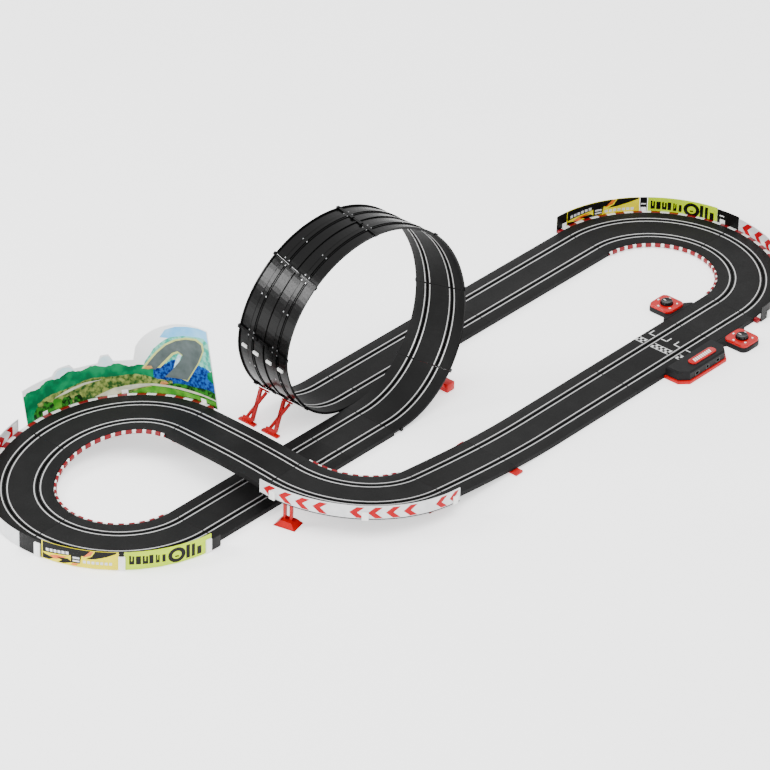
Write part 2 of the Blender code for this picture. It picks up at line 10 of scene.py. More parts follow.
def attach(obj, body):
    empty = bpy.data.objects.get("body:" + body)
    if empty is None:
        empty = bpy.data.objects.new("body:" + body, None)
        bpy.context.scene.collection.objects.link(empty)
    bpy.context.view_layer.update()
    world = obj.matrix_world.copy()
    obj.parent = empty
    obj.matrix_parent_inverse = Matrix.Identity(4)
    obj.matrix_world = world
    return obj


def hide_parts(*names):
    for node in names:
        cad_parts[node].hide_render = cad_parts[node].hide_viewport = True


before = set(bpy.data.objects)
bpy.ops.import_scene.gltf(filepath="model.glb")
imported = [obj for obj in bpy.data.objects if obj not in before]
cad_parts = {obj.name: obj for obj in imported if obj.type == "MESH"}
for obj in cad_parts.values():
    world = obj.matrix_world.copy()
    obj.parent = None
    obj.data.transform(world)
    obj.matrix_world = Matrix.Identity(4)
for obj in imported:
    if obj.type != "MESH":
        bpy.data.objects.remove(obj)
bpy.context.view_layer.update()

# Sizes of the track system, in metres, laid out from the centre of the right-hand curve
CENTRE = Vector((-0.5971, 0.0977, 0.0))
LANE = 0.0570
HALF = 0.0567
DEPTH = 0.0090
PLATE = 0.0035
SKIRT = 0.0022
SLOT_HALF = 0.0015
SLOT_DEPTH = 0.0055
CHANNEL_HALF = 0.0040
CHANNEL_DEPTH = 0.0072
RADIUS = 0.1710
GAP = 0.00015
STRAIGHT = 0.3420
FRONT_RUN = 0.8550
LEFT_X, LEFT_Y = -1.1970, 0.2280
BRIDGE_RUN = 0.2280
REAR_RUN = 0.6840
BRIDGE_HEIGHT = 0.0570
RISE_START, RISE_END = math.radians(120.0), math.radians(280.0)
FALL_START, FALL_LENGTH = 0.0900, 0.7066
LOOP_X = -0.7225
LOOP_A, LOOP_B = 0.1765, 0.1860
LOOP_PLATE, LOOP_DEPTH, LOOP_SLOT = 0.0022, 0.0046, 0.0034
LOOP_IN_Y, LOOP_OUT_Y = 0.1710, 0.0570
LOOP_PIECES = 8
SHIFT_START, SHIFT_END, SHIFT_EASE = 1.345, 5.950, 0.718
JOINT_SLANT = 1.2
FENCE = 0.0664
CARD = 0.0016
QUARTER = math.pi / 2.0
LEFT_LENGTH = RADIUS * 3.0 * QUARTER
FRONT_START = LEFT_LENGTH + BRIDGE_RUN
FRONT_END = FRONT_START + RADIUS * QUARTER
UP = Vector((0.0, 0.0, 1.0))


# Materials

def linear(code):
    """sRGB hex to linear colour."""
    parts = [int(code[i:i + 2], 16) / 255.0 for i in (1, 3, 5)]
    return (*[c / 12.92 if c <= 0.04045 else ((c + 0.055) / 1.055) ** 2.4 for c in parts], 1.0)


def add(tree, kind, settings=None, links=None):
    """One node with its properties, socket values and incoming links."""
    made = tree.nodes.new(kind)
    for key, value in (settings or {}).items():
        if isinstance(key, str) and hasattr(made, key):
            setattr(made, key, value)
        else:
            made.inputs[key].default_value = value
    for key, source in (links or {}).items():
        tree.links.new(source, made.inputs[key])
    return made


def finish_of(name, base, tint, rough, patch, grain, bump, sharp=0.0, specular=0.5,
              **sockets):
    """Surface with cloudy tone in patches, fine grain in its gloss and a grain bump.

    patch and grain are in millimetres; sharp pushes the patches towards printed blotches,
    and a low specular keeps a strong colour deep.
    """
    material = bpy.data.materials.new(name)
    material.use_nodes = True
    tree = material.node_tree
    shader = tree.nodes["Principled BSDF"]
    where = add(tree, "ShaderNodeTexCoord").outputs["Object"]
    cloud = add(tree, "ShaderNodeTexNoise", {"Scale": 1000.0 / patch, "Detail": 4.0}, {"Vector": where})
    fine = add(tree, "ShaderNodeTexNoise", {"Scale": 1000.0 / grain, "Detail": 2.0}, {"Vector": where})
    low, high = 0.30 + 0.17 * sharp, 0.70 - 0.17 * sharp
    blend = add(tree, "ShaderNodeMapRange", {"From Min": low, "From Max": high},
                {"Value": cloud.outputs["Fac"]})
    colour = add(tree, "ShaderNodeMix", {"data_type": "RGBA", 6: linear(base), 7: linear(tint)},
                 {0: blend.outputs["Result"]})
    gloss = add(tree, "ShaderNodeMapRange", {"From Min": 0.3, "From Max": 0.7, "To Min": rough[0],
                                             "To Max": rough[1]},
                {"Value": fine.outputs["Fac"]})
    relief = add(tree, "ShaderNodeBump", {"Strength": bump, "Distance": grain * 0.0001},
                 {"Height": fine.outputs["Fac"]})
    tree.links.new(colour.outputs[2], shader.inputs["Base Color"])
    tree.links.new(gloss.outputs["Result"], shader.inputs["Roughness"])
    tree.links.new(relief.outputs["Normal"], shader.inputs["Normal"])
    shader.inputs["Specular IOR Level"].default_value = specular
    for key, value in sockets.items():
        shader.inputs[key.replace("_", " ")].default_value = value
    return material


def board_ink(name, base, tint, patch, specular=0.12, rough=(0.30, 0.42)):
    """Ink on the varnished card of the barriers."""
    return finish_of("board_ink_%s_printed" % name, base, tint, rough, patch, 1.5, 0.05, 0.0, specular)


def landscape_ink(name, base, tint, patch, sharp=0.0, specular=0.12, rough=(0.35, 0.45)):
    """Ink or bare card of the printed landscape."""
    return finish_of("backdrop_" + name, base, tint, rough, patch, 1.5, 0.03, sharp, specular)


# Sand-textured polystyrene road: soft charcoal, its 1 mm grain drawn at 1.6 mm so that it shows
ROAD = finish_of("road_polystyrene_textured", "#131313", "#181818", (0.50, 0.66), 45.0, 1.6, 0.35,
                 specular=0.08)
ROAD_WORN = finish_of("road_polystyrene_textured_grey", "#151515", "#1a1a1a", (0.48, 0.64), 38.0, 1.6, 0.35,
                      specular=0.08)
# Polished polystyrene of the loop: deep black with clear reflections
LOOP_BLACK = finish_of("loop_polystyrene_gloss", "#030303", "#070707", (0.17, 0.25), 60.0, 3.0, 0.06,
                       specular=0.16)
# Tinned steel rail: bright line with a drawn finish along it
RAIL = finish_of("rail_tinned_steel_drawn", "#bebebe", "#adadad", (0.40, 0.54), 20.0, 1.2, 0.15,
                 Metallic=0.45)
# Injection moulded ABS kerbs: clean semi-gloss colour
KERB_RED = finish_of("kerb_abs_red_moulded", "#6c0008", "#7c0010", (0.32, 0.42), 25.0, 2.0, 0.10,
                     specular=0.25)
KERB_WHITE = finish_of("kerb_abs_white_moulded", "#e9e9e6", "#dcdcd9", (0.32, 0.42), 25.0, 2.0, 0.10)
# Red ABS of supports and tray: saturated, with a soft moulded sheen
RED = finish_of("support_abs_red_moulded", "#b40006", "#a00004", (0.26, 0.36), 18.0, 2.0, 0.12,
                specular=0.20)
RED_GLOSS = finish_of("counter_abs_red_polished", "#b00006", "#9c0004", (0.16, 0.24), 14.0, 2.5, 0.05,
                      specular=0.25)
# Black ABS with a fine spark-eroded texture
BLACK = finish_of("housing_abs_black_textured", "#101011", "#161617", (0.42, 0.55), 22.0, 1.4, 0.30,
                  specular=0.12)
BLACK_GLOSS = finish_of("knob_abs_black_polished", "#060607", "#0b0b0c", (0.10, 0.18), 20.0, 2.0, 0.05,
                        specular=0.30)
# Varnished printed card: flat ink under a slight gloss, with a paper tooth
LIME_INK = board_ink("lime", "#bcd800", "#aecc00", 12.0)
YELLOW_INK = board_ink("yellow", "#e8dc00", "#dccc00", 16.0)
ORANGE_INK = board_ink("orange", "#c84400", "#d86c00", 10.0, specular=0.5)
GREY_INK = board_ink("grey", "#d9dadb", "#c8cacb", 14.0, specular=0.5)
RED_INK = board_ink("red", "#ac0014", "#9a0010", 12.0)
BLACK_INK = board_ink("black", "#060606", "#0c0c0c", 12.0, specular=0.15, rough=(0.36, 0.48))
WHITE_INK = finish_of("road_paint_white_printed", "#d2d3d2", "#bcbdbc", (0.45, 0.6), 6.0, 1.5, 0.10)
CLIP_WHITE = finish_of("clip_polypropylene_white", "#f0f0ee", "#e6e6e4", (0.34, 0.44), 10.0, 2.0, 0.08)
STEEL = finish_of("lever_steel_stamped", "#a9aaab", "#939495", (0.28, 0.40), 6.0, 1.0, 0.20, Metallic=1.0)
# Printed landscape: inks in blotches as small as leaves and as wide as trees
SKY_INK = landscape_ink("ink_sky", "#58b4ec", "#8ccdf4", 30.0)
CLOUD_INK = landscape_ink("ink_cloud", "#c2e6f0", "#e2f3f7", 14.0, specular=0.5)
CARD_WHITE = landscape_ink("card_white", "#fbfcfc", "#f4f6f7", 40.0, specular=0.5, rough=(0.40, 0.50))
TREE_INK = landscape_ink("ink_treeline", "#005c36", "#00834f", 22.0, 0.5)
HAZE_INK = landscape_ink("ink_far_trees", "#2f9a86", "#7cc9b4", 9.0, 0.7)
BUSH_INK = landscape_ink("ink_bushes", "#08260b", "#2c7422", 7.0, 0.8)
SCRUB_INK = landscape_ink("ink_scrub", "#1f4a1c", "#8e9a50", 8.0, 0.5)
GRASS_INK = landscape_ink("ink_grass", "#2f7a1c", "#5c9e30", 16.0, 0.3)
SAND_INK = landscape_ink("ink_sand", "#cfcfae", "#a9ae9b", 14.0, 0.3, specular=0.5)
WATER_INK = landscape_ink("ink_water", "#021b5c", "#1d58ac", 5.0, 0.6, rough=(0.30, 0.40))
ROAD_INK = landscape_ink("ink_road", "#5c6666", "#4a5453", 18.0)
VERGE_INK = landscape_ink("ink_verge", "#cdcf7c", "#a9b765", 10.0, specular=0.5)
BANK_INK = landscape_ink("ink_bank", "#a8683a", "#cfa35a", 8.0, specular=0.5)
FOAM_INK = landscape_ink("ink_foam", "#dff0f5", "#9ccbe0", 6.0, 0.5, specular=0.5)
FLOOR = finish_of("floor_paper_matt", "#fbfbfb", "#f8f8f8", (0.85, 0.95), 400.0, 8.0, 0.02,
                  specular=0.1, Emission_Color=(1.0, 1.0, 1.0, 1.0), Emission_Strength=1.0)


# Routes: each takes distance along, distance across to the right and height, and gives a point in space

def ease(t):
    t = min(1.0, max(0.0, t))
    return t * t * (3.0 - 2.0 * t)


def hill_height(s):
    up = ease((s - RADIUS * RISE_START) / (RADIUS * (RISE_END - RISE_START)))
    down = ease((s - LEFT_LENGTH - FALL_START) / FALL_LENGTH)
    return DEPTH + BRIDGE_HEIGHT * (up - down)


def hill_plan(s):
    """Plan point and heading from the left curve over the bridge to the front straight."""
    if s < LEFT_LENGTH:
        turn = s / RADIUS
        angle = -QUARTER - turn
        return LEFT_X + RADIUS * math.cos(angle), LEFT_Y + RADIUS * math.sin(angle), math.pi - turn
    if s < FRONT_START:
        return LEFT_X + RADIUS, LEFT_Y - (s - LEFT_LENGTH), -QUARTER
    if s < FRONT_END:
        turn = (s - FRONT_START) / RADIUS
        return -FRONT_RUN + RADIUS * math.cos(math.pi + turn), RADIUS * math.sin(math.pi + turn), turn - QUARTER
    return -FRONT_RUN + (s - FRONT_END), -RADIUS, 0.0


def hill(s, u, w, upright=False):
    x, y, heading = hill_plan(s)
    side = Vector((math.sin(heading), -math.cos(heading), 0.0))
    if upright:
        rise = UP
    else:
        slope = (hill_height(s + 0.001) - hill_height(s - 0.001)) / 0.002
        rise = side.cross(Vector((math.cos(heading), math.sin(heading), slope)).normalized())
    return Vector((x, y, hill_height(s))) + side * u + rise * w


def hill_wall(s, u, w):
    return hill(s, u, w, upright=True)


def right(s, u, w):
    """Right curve, counted from its rear end; across is outwards."""
    angle = QUARTER - s / RADIUS
    out = Vector((math.cos(angle), math.sin(angle), 0.0))
    return out * (RADIUS + u) + UP * (DEPTH + w)


def straight(y):
    """Level road counted towards -X from the right curve."""
    return lambda s, u, w: Vector((-s, y + u, DEPTH + w))


def backdrop(s, u, w):
    return hill_wall(s, u, w) + Vector((0.0, 0.19 * (w + 0.006), 0.0))


def loop_shift(angle):
    t = min(1.0, max(0.0, (angle - SHIFT_START) / (SHIFT_END - SHIFT_START)))
    return LOOP_IN_Y + (LOOP_OUT_Y - LOOP_IN_Y) * ease(t ** SHIFT_EASE)


def loop(angle, u, w):
    """Ellipse seen from the side that slides over by one track width; joints stay square to the road."""
    if angle < 0.0 or angle > 2.0 * math.pi:
        y = LOOP_IN_Y if angle < 0.0 else LOOP_OUT_Y
        over = angle if angle < 0.0 else angle - 2.0 * math.pi
        return Vector((LOOP_X - LOOP_A * over, y + u, DEPTH + w))
    angle += JOINT_SLANT * ease(angle - 0.3) * ease(2.0 * math.pi - 0.3 - angle) * u
    up = Vector((math.sin(angle) / LOOP_A, 0.0, math.cos(angle) / LOOP_B)).normalized()
    x = LOOP_X - LOOP_A * math.sin(angle)
    return Vector((x, loop_shift(angle) + u, DEPTH + LOOP_B * (1.0 - math.cos(angle)))) + up * w


# Shapes, drawn flat as (distance along, across, height) and then laid on a route

def soften(bm, edges, width, segments):
    """Rounded bevel of one width."""
    bmesh.ops.bevel(bm, geom=edges, offset=width, offset_type="OFFSET", affect="EDGES",
                    segments=segments, profile=0.5, material=-1)


def pull(bm, face, vec):
    """Extrude a face along vec and give back the face at the new end."""
    made = bmesh.ops.extrude_face_region(bm, geom=[face])["geom"]
    end = next(part for part in made if isinstance(part, bmesh.types.BMFace))
    bmesh.ops.translate(bm, verts=end.verts[:], vec=vec)
    return end


def brick(bm, along, across, height, soft=0.0004, segments=1):
    """Block between three pairs of limits, its edges softened."""
    pairs = (along, across, height)
    middle = Vector([(a + b) / 2.0 for a, b in pairs])
    size = Vector([abs(b - a) for a, b in pairs])
    made = bmesh.ops.create_cube(bm, size=1.0, matrix=Matrix.LocRotScale(middle, None, size))
    if soft:
        edges = list({edge for vert in made["verts"] for edge in vert.link_edges})
        soften(bm, edges, soft, segments)


def run(bm, outline, marks):
    """Section in (across, height), extruded from mark to mark along the route."""
    end = bm.faces.new([bm.verts.new((marks[0], u, w)) for u, w in outline])
    for before, after in zip(marks, marks[1:]):
        end = pull(bm, end, (after - before, 0.0, 0.0))


def plate(bm, outline, near, thick, wall=True):
    """Thin shape raised from a barrier's face, or from the road where wall is False."""
    points = [(a, near, b) if wall else (a, b, near) for a, b in outline]
    face = bm.faces.new([bm.verts.new(point) for point in points])
    pull(bm, face, (0.0, thick, 0.0) if wall else (0.0, 0.0, thick))


def cut_every(bm, pitch):
    """Cuts across the route, close enough for a shape to follow a curve."""
    low = min(vert.co.x for vert in bm.verts)
    high = max(vert.co.x for vert in bm.verts)
    for i in range(1, int((high - low) / pitch) + 1):
        bmesh.ops.bisect_plane(bm, geom=bm.verts[:] + bm.edges[:] + bm.faces[:],
                               plane_co=(low + pitch * i, 0.0, 0.0), plane_no=(1.0, 0.0, 0.0))


def make(name, bm, material, route=None, cut=0.0, body="circuit", stands_for=(), smooth=35.0):
    """Piece from a bmesh: laid on its route, faced outwards, finished and riding on its body."""
    if cut:
        cut_every(bm, cut)
    if route:
        for vert in bm.verts:
            vert.co = route(*vert.co) - CENTRE
    bmesh.ops.recalc_face_normals(bm, faces=bm.faces[:])
    mesh = bpy.data.meshes.new(name)
    bm.to_mesh(mesh)
    bm.free()
    piece = bpy.data.objects.new(name, mesh)
    bpy.context.scene.collection.objects.link(piece)
    mesh.materials.append(material)
    mesh.shade_smooth()
    mesh.set_sharp_from_angle(angle=math.radians(smooth))
    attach(piece, body)
    if stands_for:
        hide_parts(*stands_for)
    return piece


def recolour(name, material):
    """Solid of the model shown as it is, in one material."""
    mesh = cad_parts[name].data
    mesh.materials.clear()
    mesh.materials.append(material)


def marks_between(start, end, pitch):
    count = max(1, round((end - start) / pitch))
    return [start + (end - start) * i / count for i in range(count + 1)]


# Track

def road_outline(plate_depth, depth, slot_depth, channel):
    """Section with skirts, rounded shoulders, eased slot lips and a channel under each slot."""
    lane, lip, shoulder = LANE / 2.0, 0.0003, 0.0008
    outline = [(-HALF, -depth), (-HALF + SKIRT, -depth), (-HALF + SKIRT, -plate_depth)]
    for centre in (-lane, lane):
        for sign, height in ((-1, plate_depth), (-1, channel), (1, channel), (1, plate_depth)):
            outline.append((centre + sign * CHANNEL_HALF, -height))
    outline += [(HALF - SKIRT, -plate_depth), (HALF - SKIRT, -depth), (HALF, -depth)]
    outline += [(HALF, -shoulder), (HALF - shoulder * 0.3, -shoulder * 0.3), (HALF - shoulder, 0.0)]
    for centre in (lane, -lane):
        side = [(SLOT_HALF + lip, 0.0), (SLOT_HALF, -lip), (SLOT_HALF, -slot_depth)]
        outline += [(centre + a, w) for a, w in side] + [(centre - a, w) for a, w in reversed(side)]
    outline += [(-HALF + shoulder, 0.0), (-HALF + shoulder * 0.3, -shoulder * 0.3), (-HALF, -shoulder)]
    return outline


RAIL_OFFSET = 0.0054
RAIL_HALF = 0.0011
TRACK_STEP = 0.009
COUNTER_TRACK = 0.114
LOOP_RUN_OUT = 0.017
ROAD_SECTION = road_outline(PLATE, DEPTH, SLOT_DEPTH, CHANNEL_DEPTH)
LOOP_SECTION = road_outline(LOOP_PLATE, LOOP_DEPTH, LOOP_SLOT, LOOP_DEPTH)


def rails(name, route, marks, trim):
    """Four conductor rails that stop short of the piece's ends."""
    bm = bmesh.new()
    marks = [marks[0] + trim, *marks[1:-1], marks[-1] - trim]
    for lane in (-LANE / 2.0, LANE / 2.0):
        for side in (-RAIL_OFFSET, RAIL_OFFSET):
            middle = lane + side
            section = [(-1.0, -0.0003), (1.0, -0.0003), (1.0, 0.0002), (0.75, 0.0004), (-0.75, 0.0004),
                       (-1.0, 0.0002)]
            run(bm, [(middle + a * RAIL_HALF, w) for a, w in section], marks)
    make("rails_" + name, bm, RAIL, route)


def track(name, route, start, end, material):
    """Track piece with cross ribs underneath and its rails."""
    bm = bmesh.new()
    marks = marks_between(start + GAP, end - GAP, TRACK_STEP)
    run(bm, ROAD_SECTION, marks)
    lane = LANE / 2.0
    fields = [(-HALF + SKIRT, -lane - CHANNEL_HALF), (-lane + CHANNEL_HALF, lane - CHANNEL_HALF),
              (lane + CHANNEL_HALF, HALF - SKIRT)]
    if "lap_counter" not in name:
        count = max(2, round((end - start) / 0.038))
        for i in range(count + 1):
            s = start + 0.0012 + (end - start - 0.0024) * i / count
            for low, high in fields:
                brick(bm, (s - 0.0007, s + 0.0007), (low - 0.0003, high + 0.0003),
                      (-0.0070, -PLATE + 0.0003), 0.0)
    make(name + "_moulding", bm, material, route, stands_for=(name,))
    rails(name, route, marks, 0.0012)


def build_track():
    rear, leaving, front = straight(LOOP_IN_Y), straight(LOOP_OUT_Y), straight(-RADIUS)
    third = LEFT_LENGTH / 3.0
    exit_start = LOOP_RUN_OUT - LOOP_X
    ramp_end = FRONT_END + STRAIGHT / 2.0
    pieces = [
        ("track_right_curve_rear", right, 0.0, RADIUS * QUARTER, ROAD),
        ("track_right_curve_front", right, RADIUS * QUARTER, RADIUS * math.pi, ROAD_WORN),
        ("track_rear_straight_right", rear, 0.0, STRAIGHT, ROAD_WORN),
        ("track_rear_straight_left", rear, STRAIGHT, REAR_RUN, ROAD),
        ("track_loop_exit_straight", leaving, exit_start, FRONT_RUN, ROAD_WORN),
        ("track_underpass_straight", leaving, FRONT_RUN, -LEFT_X, ROAD),
        ("track_left_curve_front", hill, 0.0, third, ROAD_WORN),
        ("track_left_curve_side", hill, third, 2.0 * third, ROAD),
        ("track_left_curve_rear", hill, 2.0 * third, LEFT_LENGTH, ROAD_WORN),
        ("track_bridge_straight", hill, LEFT_LENGTH, FRONT_START, ROAD),
        ("track_front_curve", hill, FRONT_START, FRONT_END, ROAD_WORN),
        ("track_front_ramp", hill, FRONT_END, ramp_end, ROAD),
        ("track_front_straight", hill, ramp_end, ramp_end + STRAIGHT, ROAD_WORN),
        ("power_base_track", front, COUNTER_TRACK, STRAIGHT, ROAD),
    ]
    for name, route, start, end, material in pieces:
        track(name, route, start, end, material)
    recolour("lap_counter_track", ROAD_WORN)
    rails("lap_counter_track", front, marks_between(GAP, COUNTER_TRACK - GAP, 0.019), 0.0012)


def loop_details(index, start, end):
    """Outer face of a loop piece: end flanges, centre rib, rail tabs and edge clips."""
    black, bright = bmesh.new(), bmesh.new()
    lean = 0.0022 / LOOP_A
    for mark in (start + lean * 0.6, end - lean * 0.6):
        brick(black, (mark - lean / 2.0, mark + lean / 2.0), (-HALF, HALF),
              (-LOOP_DEPTH - 0.0007, -LOOP_PLATE), 0.0)
    run(black, [(-0.0014, -LOOP_PLATE), (-0.0014, -0.0040), (0.0014, -0.0040), (0.0014, -LOOP_PLATE)],
        marks_between(start + lean, end - lean, 0.06))
    for across in (-HALF, -0.0120, 0.0140, HALF):
        brick(black, (end - lean * 1.8, end + lean * 0.9), (across - 0.0024, across + 0.0024),
              (-LOOP_DEPTH - 0.0018, -LOOP_PLATE + 0.0008), 0.0)
    middle = start + (end - start) * (0.34 if index == 4 else 0.53)
    for lane in (-LANE / 2.0, LANE / 2.0):
        for edge in (-0.0061, 0.0061):
            run(black, [(lane + edge - 0.0006, -LOOP_PLATE), (lane + edge - 0.0006, -0.0036),
                        (lane + edge + 0.0006, -0.0036), (lane + edge + 0.0006, -LOOP_PLATE)],
                marks_between(start + lean, end - lean, 0.06))
        for side in (-RAIL_OFFSET, RAIL_OFFSET):
            for mark in (middle, start + lean * 2.2, end - lean * 2.2):
                brick(bright, (mark - 0.006, mark + 0.006), (lane + side - 0.0011, lane + side + 0.0011),
                      (-0.0042, -LOOP_PLATE), 0.0)
    make("loop_flanges_%d" % index, black, LOOP_BLACK, loop)
    make("loop_rail_tabs_%d" % index, bright, STEEL, loop)


def build_loop():
    span = 2.0 * math.pi / LOOP_PIECES
    gap = GAP / LOOP_A
    lead_in = (REAR_RUN + LOOP_X) / LOOP_A + gap
    lead_out = LOOP_RUN_OUT / LOOP_A - gap
    for index in range(LOOP_PIECES):
        start, end = span * index + gap, span * (index + 1) - gap
        marks = marks_between(start, end, 0.045)
        if index == 0:
            marks = [lead_in, 0.0, *marks[1:]]
        if index == LOOP_PIECES - 1:
            marks = [*marks[:-1], 2.0 * math.pi, 2.0 * math.pi + lead_out]
        name = "loop_piece_%d" % (index + 1)
        bm = bmesh.new()
        run(bm, LOOP_SECTION, marks)
        for face in bm.faces:
            if min(vert.co.z for vert in face.verts) > -0.0010:
                face.material_index = 1
        moulding = make(name + "_moulding", bm, LOOP_BLACK, loop, stands_for=(name,))
        moulding.data.materials.append(ROAD)
        rails(name, loop, marks, 0.008)
        loop_details(index + 1, start, end)
    bm = bmesh.new()
    for across in (-0.0410, -0.0150, 0.0150, 0.0410):
        brick(bm, (1.377, 1.402), (across - 0.0056, across + 0.0056), (-LOOP_DEPTH - 0.0010, -LOOP_PLATE),
              0.0)
    make("loop_white_tabs", bm, CLIP_WHITE, loop)


# Kerbs

def lay_kerb(name, colours, route):
    """Both colours of a kerb; the red piece stands for the solid."""
    make(name + "_red", colours[KERB_RED], KERB_RED, route, stands_for=(name,))
    make(name + "_white", colours[KERB_WHITE], KERB_WHITE, route)


def inner_kerb(name, route, start, end, count, sign):
    """Serrated kerb: red teeth and smaller white ones on a red strip."""
    colours = {KERB_RED: bmesh.new(), KERB_WHITE: bmesh.new()}
    edge = sign * (HALF + 0.0006)
    pitch = (end - start) / count
    for i in range(count):
        width, ink, share = (0.0046, KERB_RED, 1.12) if i % 2 else (0.0028, KERB_WHITE, 0.76)
        low = start + pitch * (i + 0.5 - share / 2.0)
        brick(colours[ink], (low, low + pitch * share), (edge, edge + sign * width), (-0.0070, -0.0004),
              0.0005)
    strip = [(edge, -0.0068), (edge + sign * 0.0026, -0.0068), (edge + sign * 0.0026, -0.0030),
             (edge, -0.0030)]
    run(colours[KERB_RED], strip, marks_between(start, end, 0.012))
    lay_kerb(name, colours, route)


def outer_kerb(name, route, start, end, sign):
    """Sloped kerb of red and white blocks, counted back from its far end."""
    colours = {KERB_RED: bmesh.new(), KERB_WHITE: bmesh.new()}
    edge = sign * (HALF + 0.0003)
    section = [(edge, -0.0080), (edge + sign * 0.0088, -0.0080), (edge + sign * 0.0088, -0.0022),
               (edge + sign * 0.0080, -0.0015), (edge + sign * 0.0005, -0.0004), (edge, -0.0008)]
    pitch = RADIUS * math.radians(4.28)
    for i in range(int((end - start) / pitch) + 2):
        middle = end - pitch * i
        low, high = max(start, middle - pitch / 2.0 + 0.0001), min(end, middle + pitch / 2.0 - 0.0001)
        if high - low > 0.001:
            run(colours[KERB_WHITE if i % 2 else KERB_RED], section, [low, (low + high) / 2.0, high])
    lay_kerb(name, colours, route)


def build_kerbs():
    right_length = RADIUS * math.pi
    inner_kerb("kerb_inner_right", right, RADIUS * 0.02, right_length - RADIUS * 0.02, 39, -1.0)
    inner_kerb("kerb_inner_left", hill_wall, 0.002, LEFT_LENGTH - 0.002, 57, 1.0)
    inner_kerb("kerb_inner_front", hill_wall, FRONT_START + 0.002, FRONT_END - 0.002, 19, -1.0)
    outer_kerb("kerb_outer_right", right, GAP, right_length - GAP, 1.0)
    outer_kerb("kerb_outer_left", hill_wall, GAP, LEFT_LENGTH - GAP, -1.0)
    outer_kerb("kerb_outer_front", hill_wall, FRONT_START + GAP, FRONT_END - GAP, 1.0)


# Barriers

BOARD_LOW, BOARD_HIGH = -0.0080, 0.0270
CHEVRON_PITCH = 0.0222


class Barrier:
    """One curved run of barrier on one side of its route, with its foot height."""

    def __init__(self, name, route, sign, low):
        self.name, self.route, self.sign, self.low = name, route, sign, low
        self.count = 0

    def wall(self, start, end, high, material, node=None, slot=None):
        near, far = self.sign * FENCE, self.sign * (FENCE + CARD)
        ease_by = 0.0003 * self.sign
        low = self.low
        bm = bmesh.new()
        run(bm, [(near, low), (far, low), (far, high - 0.0003), (far - ease_by, high),
                 (near + ease_by, high),
                 (near, high - 0.0003)], marks_between(start, end, 0.006))
        self.count += 1
        make("%s_wall_%d" % (self.name, self.count), bm, material, self.route,
             stands_for=(node,) if node else ())

    def print_on(self, label, outlines, material, lift=0.00018, both=True):
        """Printed shapes in (distance, height), on both faces or only the one towards the road."""
        bm = bmesh.new()
        for outline in outlines:
            for face, out in ((FENCE, -1.0), (FENCE + CARD, 1.0))[:2 if both else 1]:
                plate(bm, outline, self.sign * (face - out * 0.0002), self.sign * out * (lift + 0.0002))
        make("%s_%s" % (self.name, label), bm, material, self.route, cut=0.006, smooth=20.0)

    def clips(self, places, high):
        bm = bmesh.new()
        for s in places:
            near, far = sorted((self.sign * (FENCE - 0.0004), self.sign * (FENCE + 0.0047)))
            brick(bm, (s - 0.0042, s + 0.0042), (near, far), (self.low - 0.0006, high), 0.0009, 2)
            near, far = sorted((self.sign * (FENCE + 0.0030), self.sign * (FENCE + 0.0052)))
            brick(bm, (s - 0.0022, s + 0.0022), (near, far), (self.low + 0.002, high - 0.004), 0.0006)
        make(self.name + "_clips", bm, CLIP_WHITE, self.route)


def chevron(s, low, high, width, point, sign):
    """Arrow band that points back along the route where sign is 1."""
    middle = (low + high) / 2.0
    outline = [(0.0, middle), (point, high), (point + width, high), (width, middle), (point + width, low),
               (point, low)]
    return [(s + sign * a, w) for a, w in outline]


def row_of_chevrons(start, end, pitch, low, high, sign, skip=()):
    count = int((end - start) / pitch)
    pitch = (end - start) / count
    width, point = pitch * 0.42, pitch * 0.40
    return [chevron(start + pitch * (i + (0.1 if sign > 0 else 0.9)), low, high, width, point, sign)
            for i in range(count) if i not in skip]


def box_shape(start, end, low, high):
    return [(start, low), (end, low), (end, high), (start, high)]


def ring_parts(middle, height, radius, hole, stretch):
    """Ring as short closed wedges, so that its middle stays open."""
    parts = []
    for i in range(16):
        a, b = math.pi / 8.0 * i, math.pi / 8.0 * (i + 1.02)
        parts.append([(middle + r * stretch * math.cos(t), height + r * math.sin(t))
                      for r, t in ((hole, a), (radius, a), (radius, b), (hole, b))])
    return parts


def lime_shapes(start, end, low, high):
    """Black bars, a ring and three posts along a lime board, from start to end."""
    span, tall = end - start, high - low
    shapes = []
    bars = ((0.060, 0.50), (0.060, 0.46), (0.066, 0.46), (0.050, 0.48), (0.046, 0.46), (0.040, 0.42))
    whole = ((0.0, 1.0, 1.0),)
    stepped = ((0.0, 0.38, 1.0), (0.36, 1.0, 0.36), (0.62, 1.0, 0.92))
    for i, (width, rise) in enumerate(bars):
        at = start + span * (0.035 + 0.080 * i)
        foot = low + tall * (0.30 - 0.01 * i)
        shapes += [box_shape(at + span * width * a, at + span * width * b, foot, foot + tall * rise * part)
                   for a, b, part in (whole if i % 2 else stepped)]
    shapes += ring_parts(start + span * 0.620, low + tall * 0.48, tall * 0.42, tall * 0.23, 0.78)
    shapes.append(box_shape(start + span * 0.596, start + span * 0.644, low + tall * 0.36,
                            low + tall * 0.44))
    for i, (rise, width) in enumerate(((0.74, 0.050), (0.70, 0.044), (0.46, 0.060))):
        at = start + span * (0.742 + 0.076 * i)
        shapes.append(box_shape(at, at + span * width, low + tall * 0.14, low + tall * (0.14 + rise)))
    return shapes


def on_board(unit, start, end, low, high):
    """Outlines drawn in fractions of a board, placed on it."""
    return [[(start + (end - start) * a, low + (high - low) * b) for a, b in outline] for outline in unit]


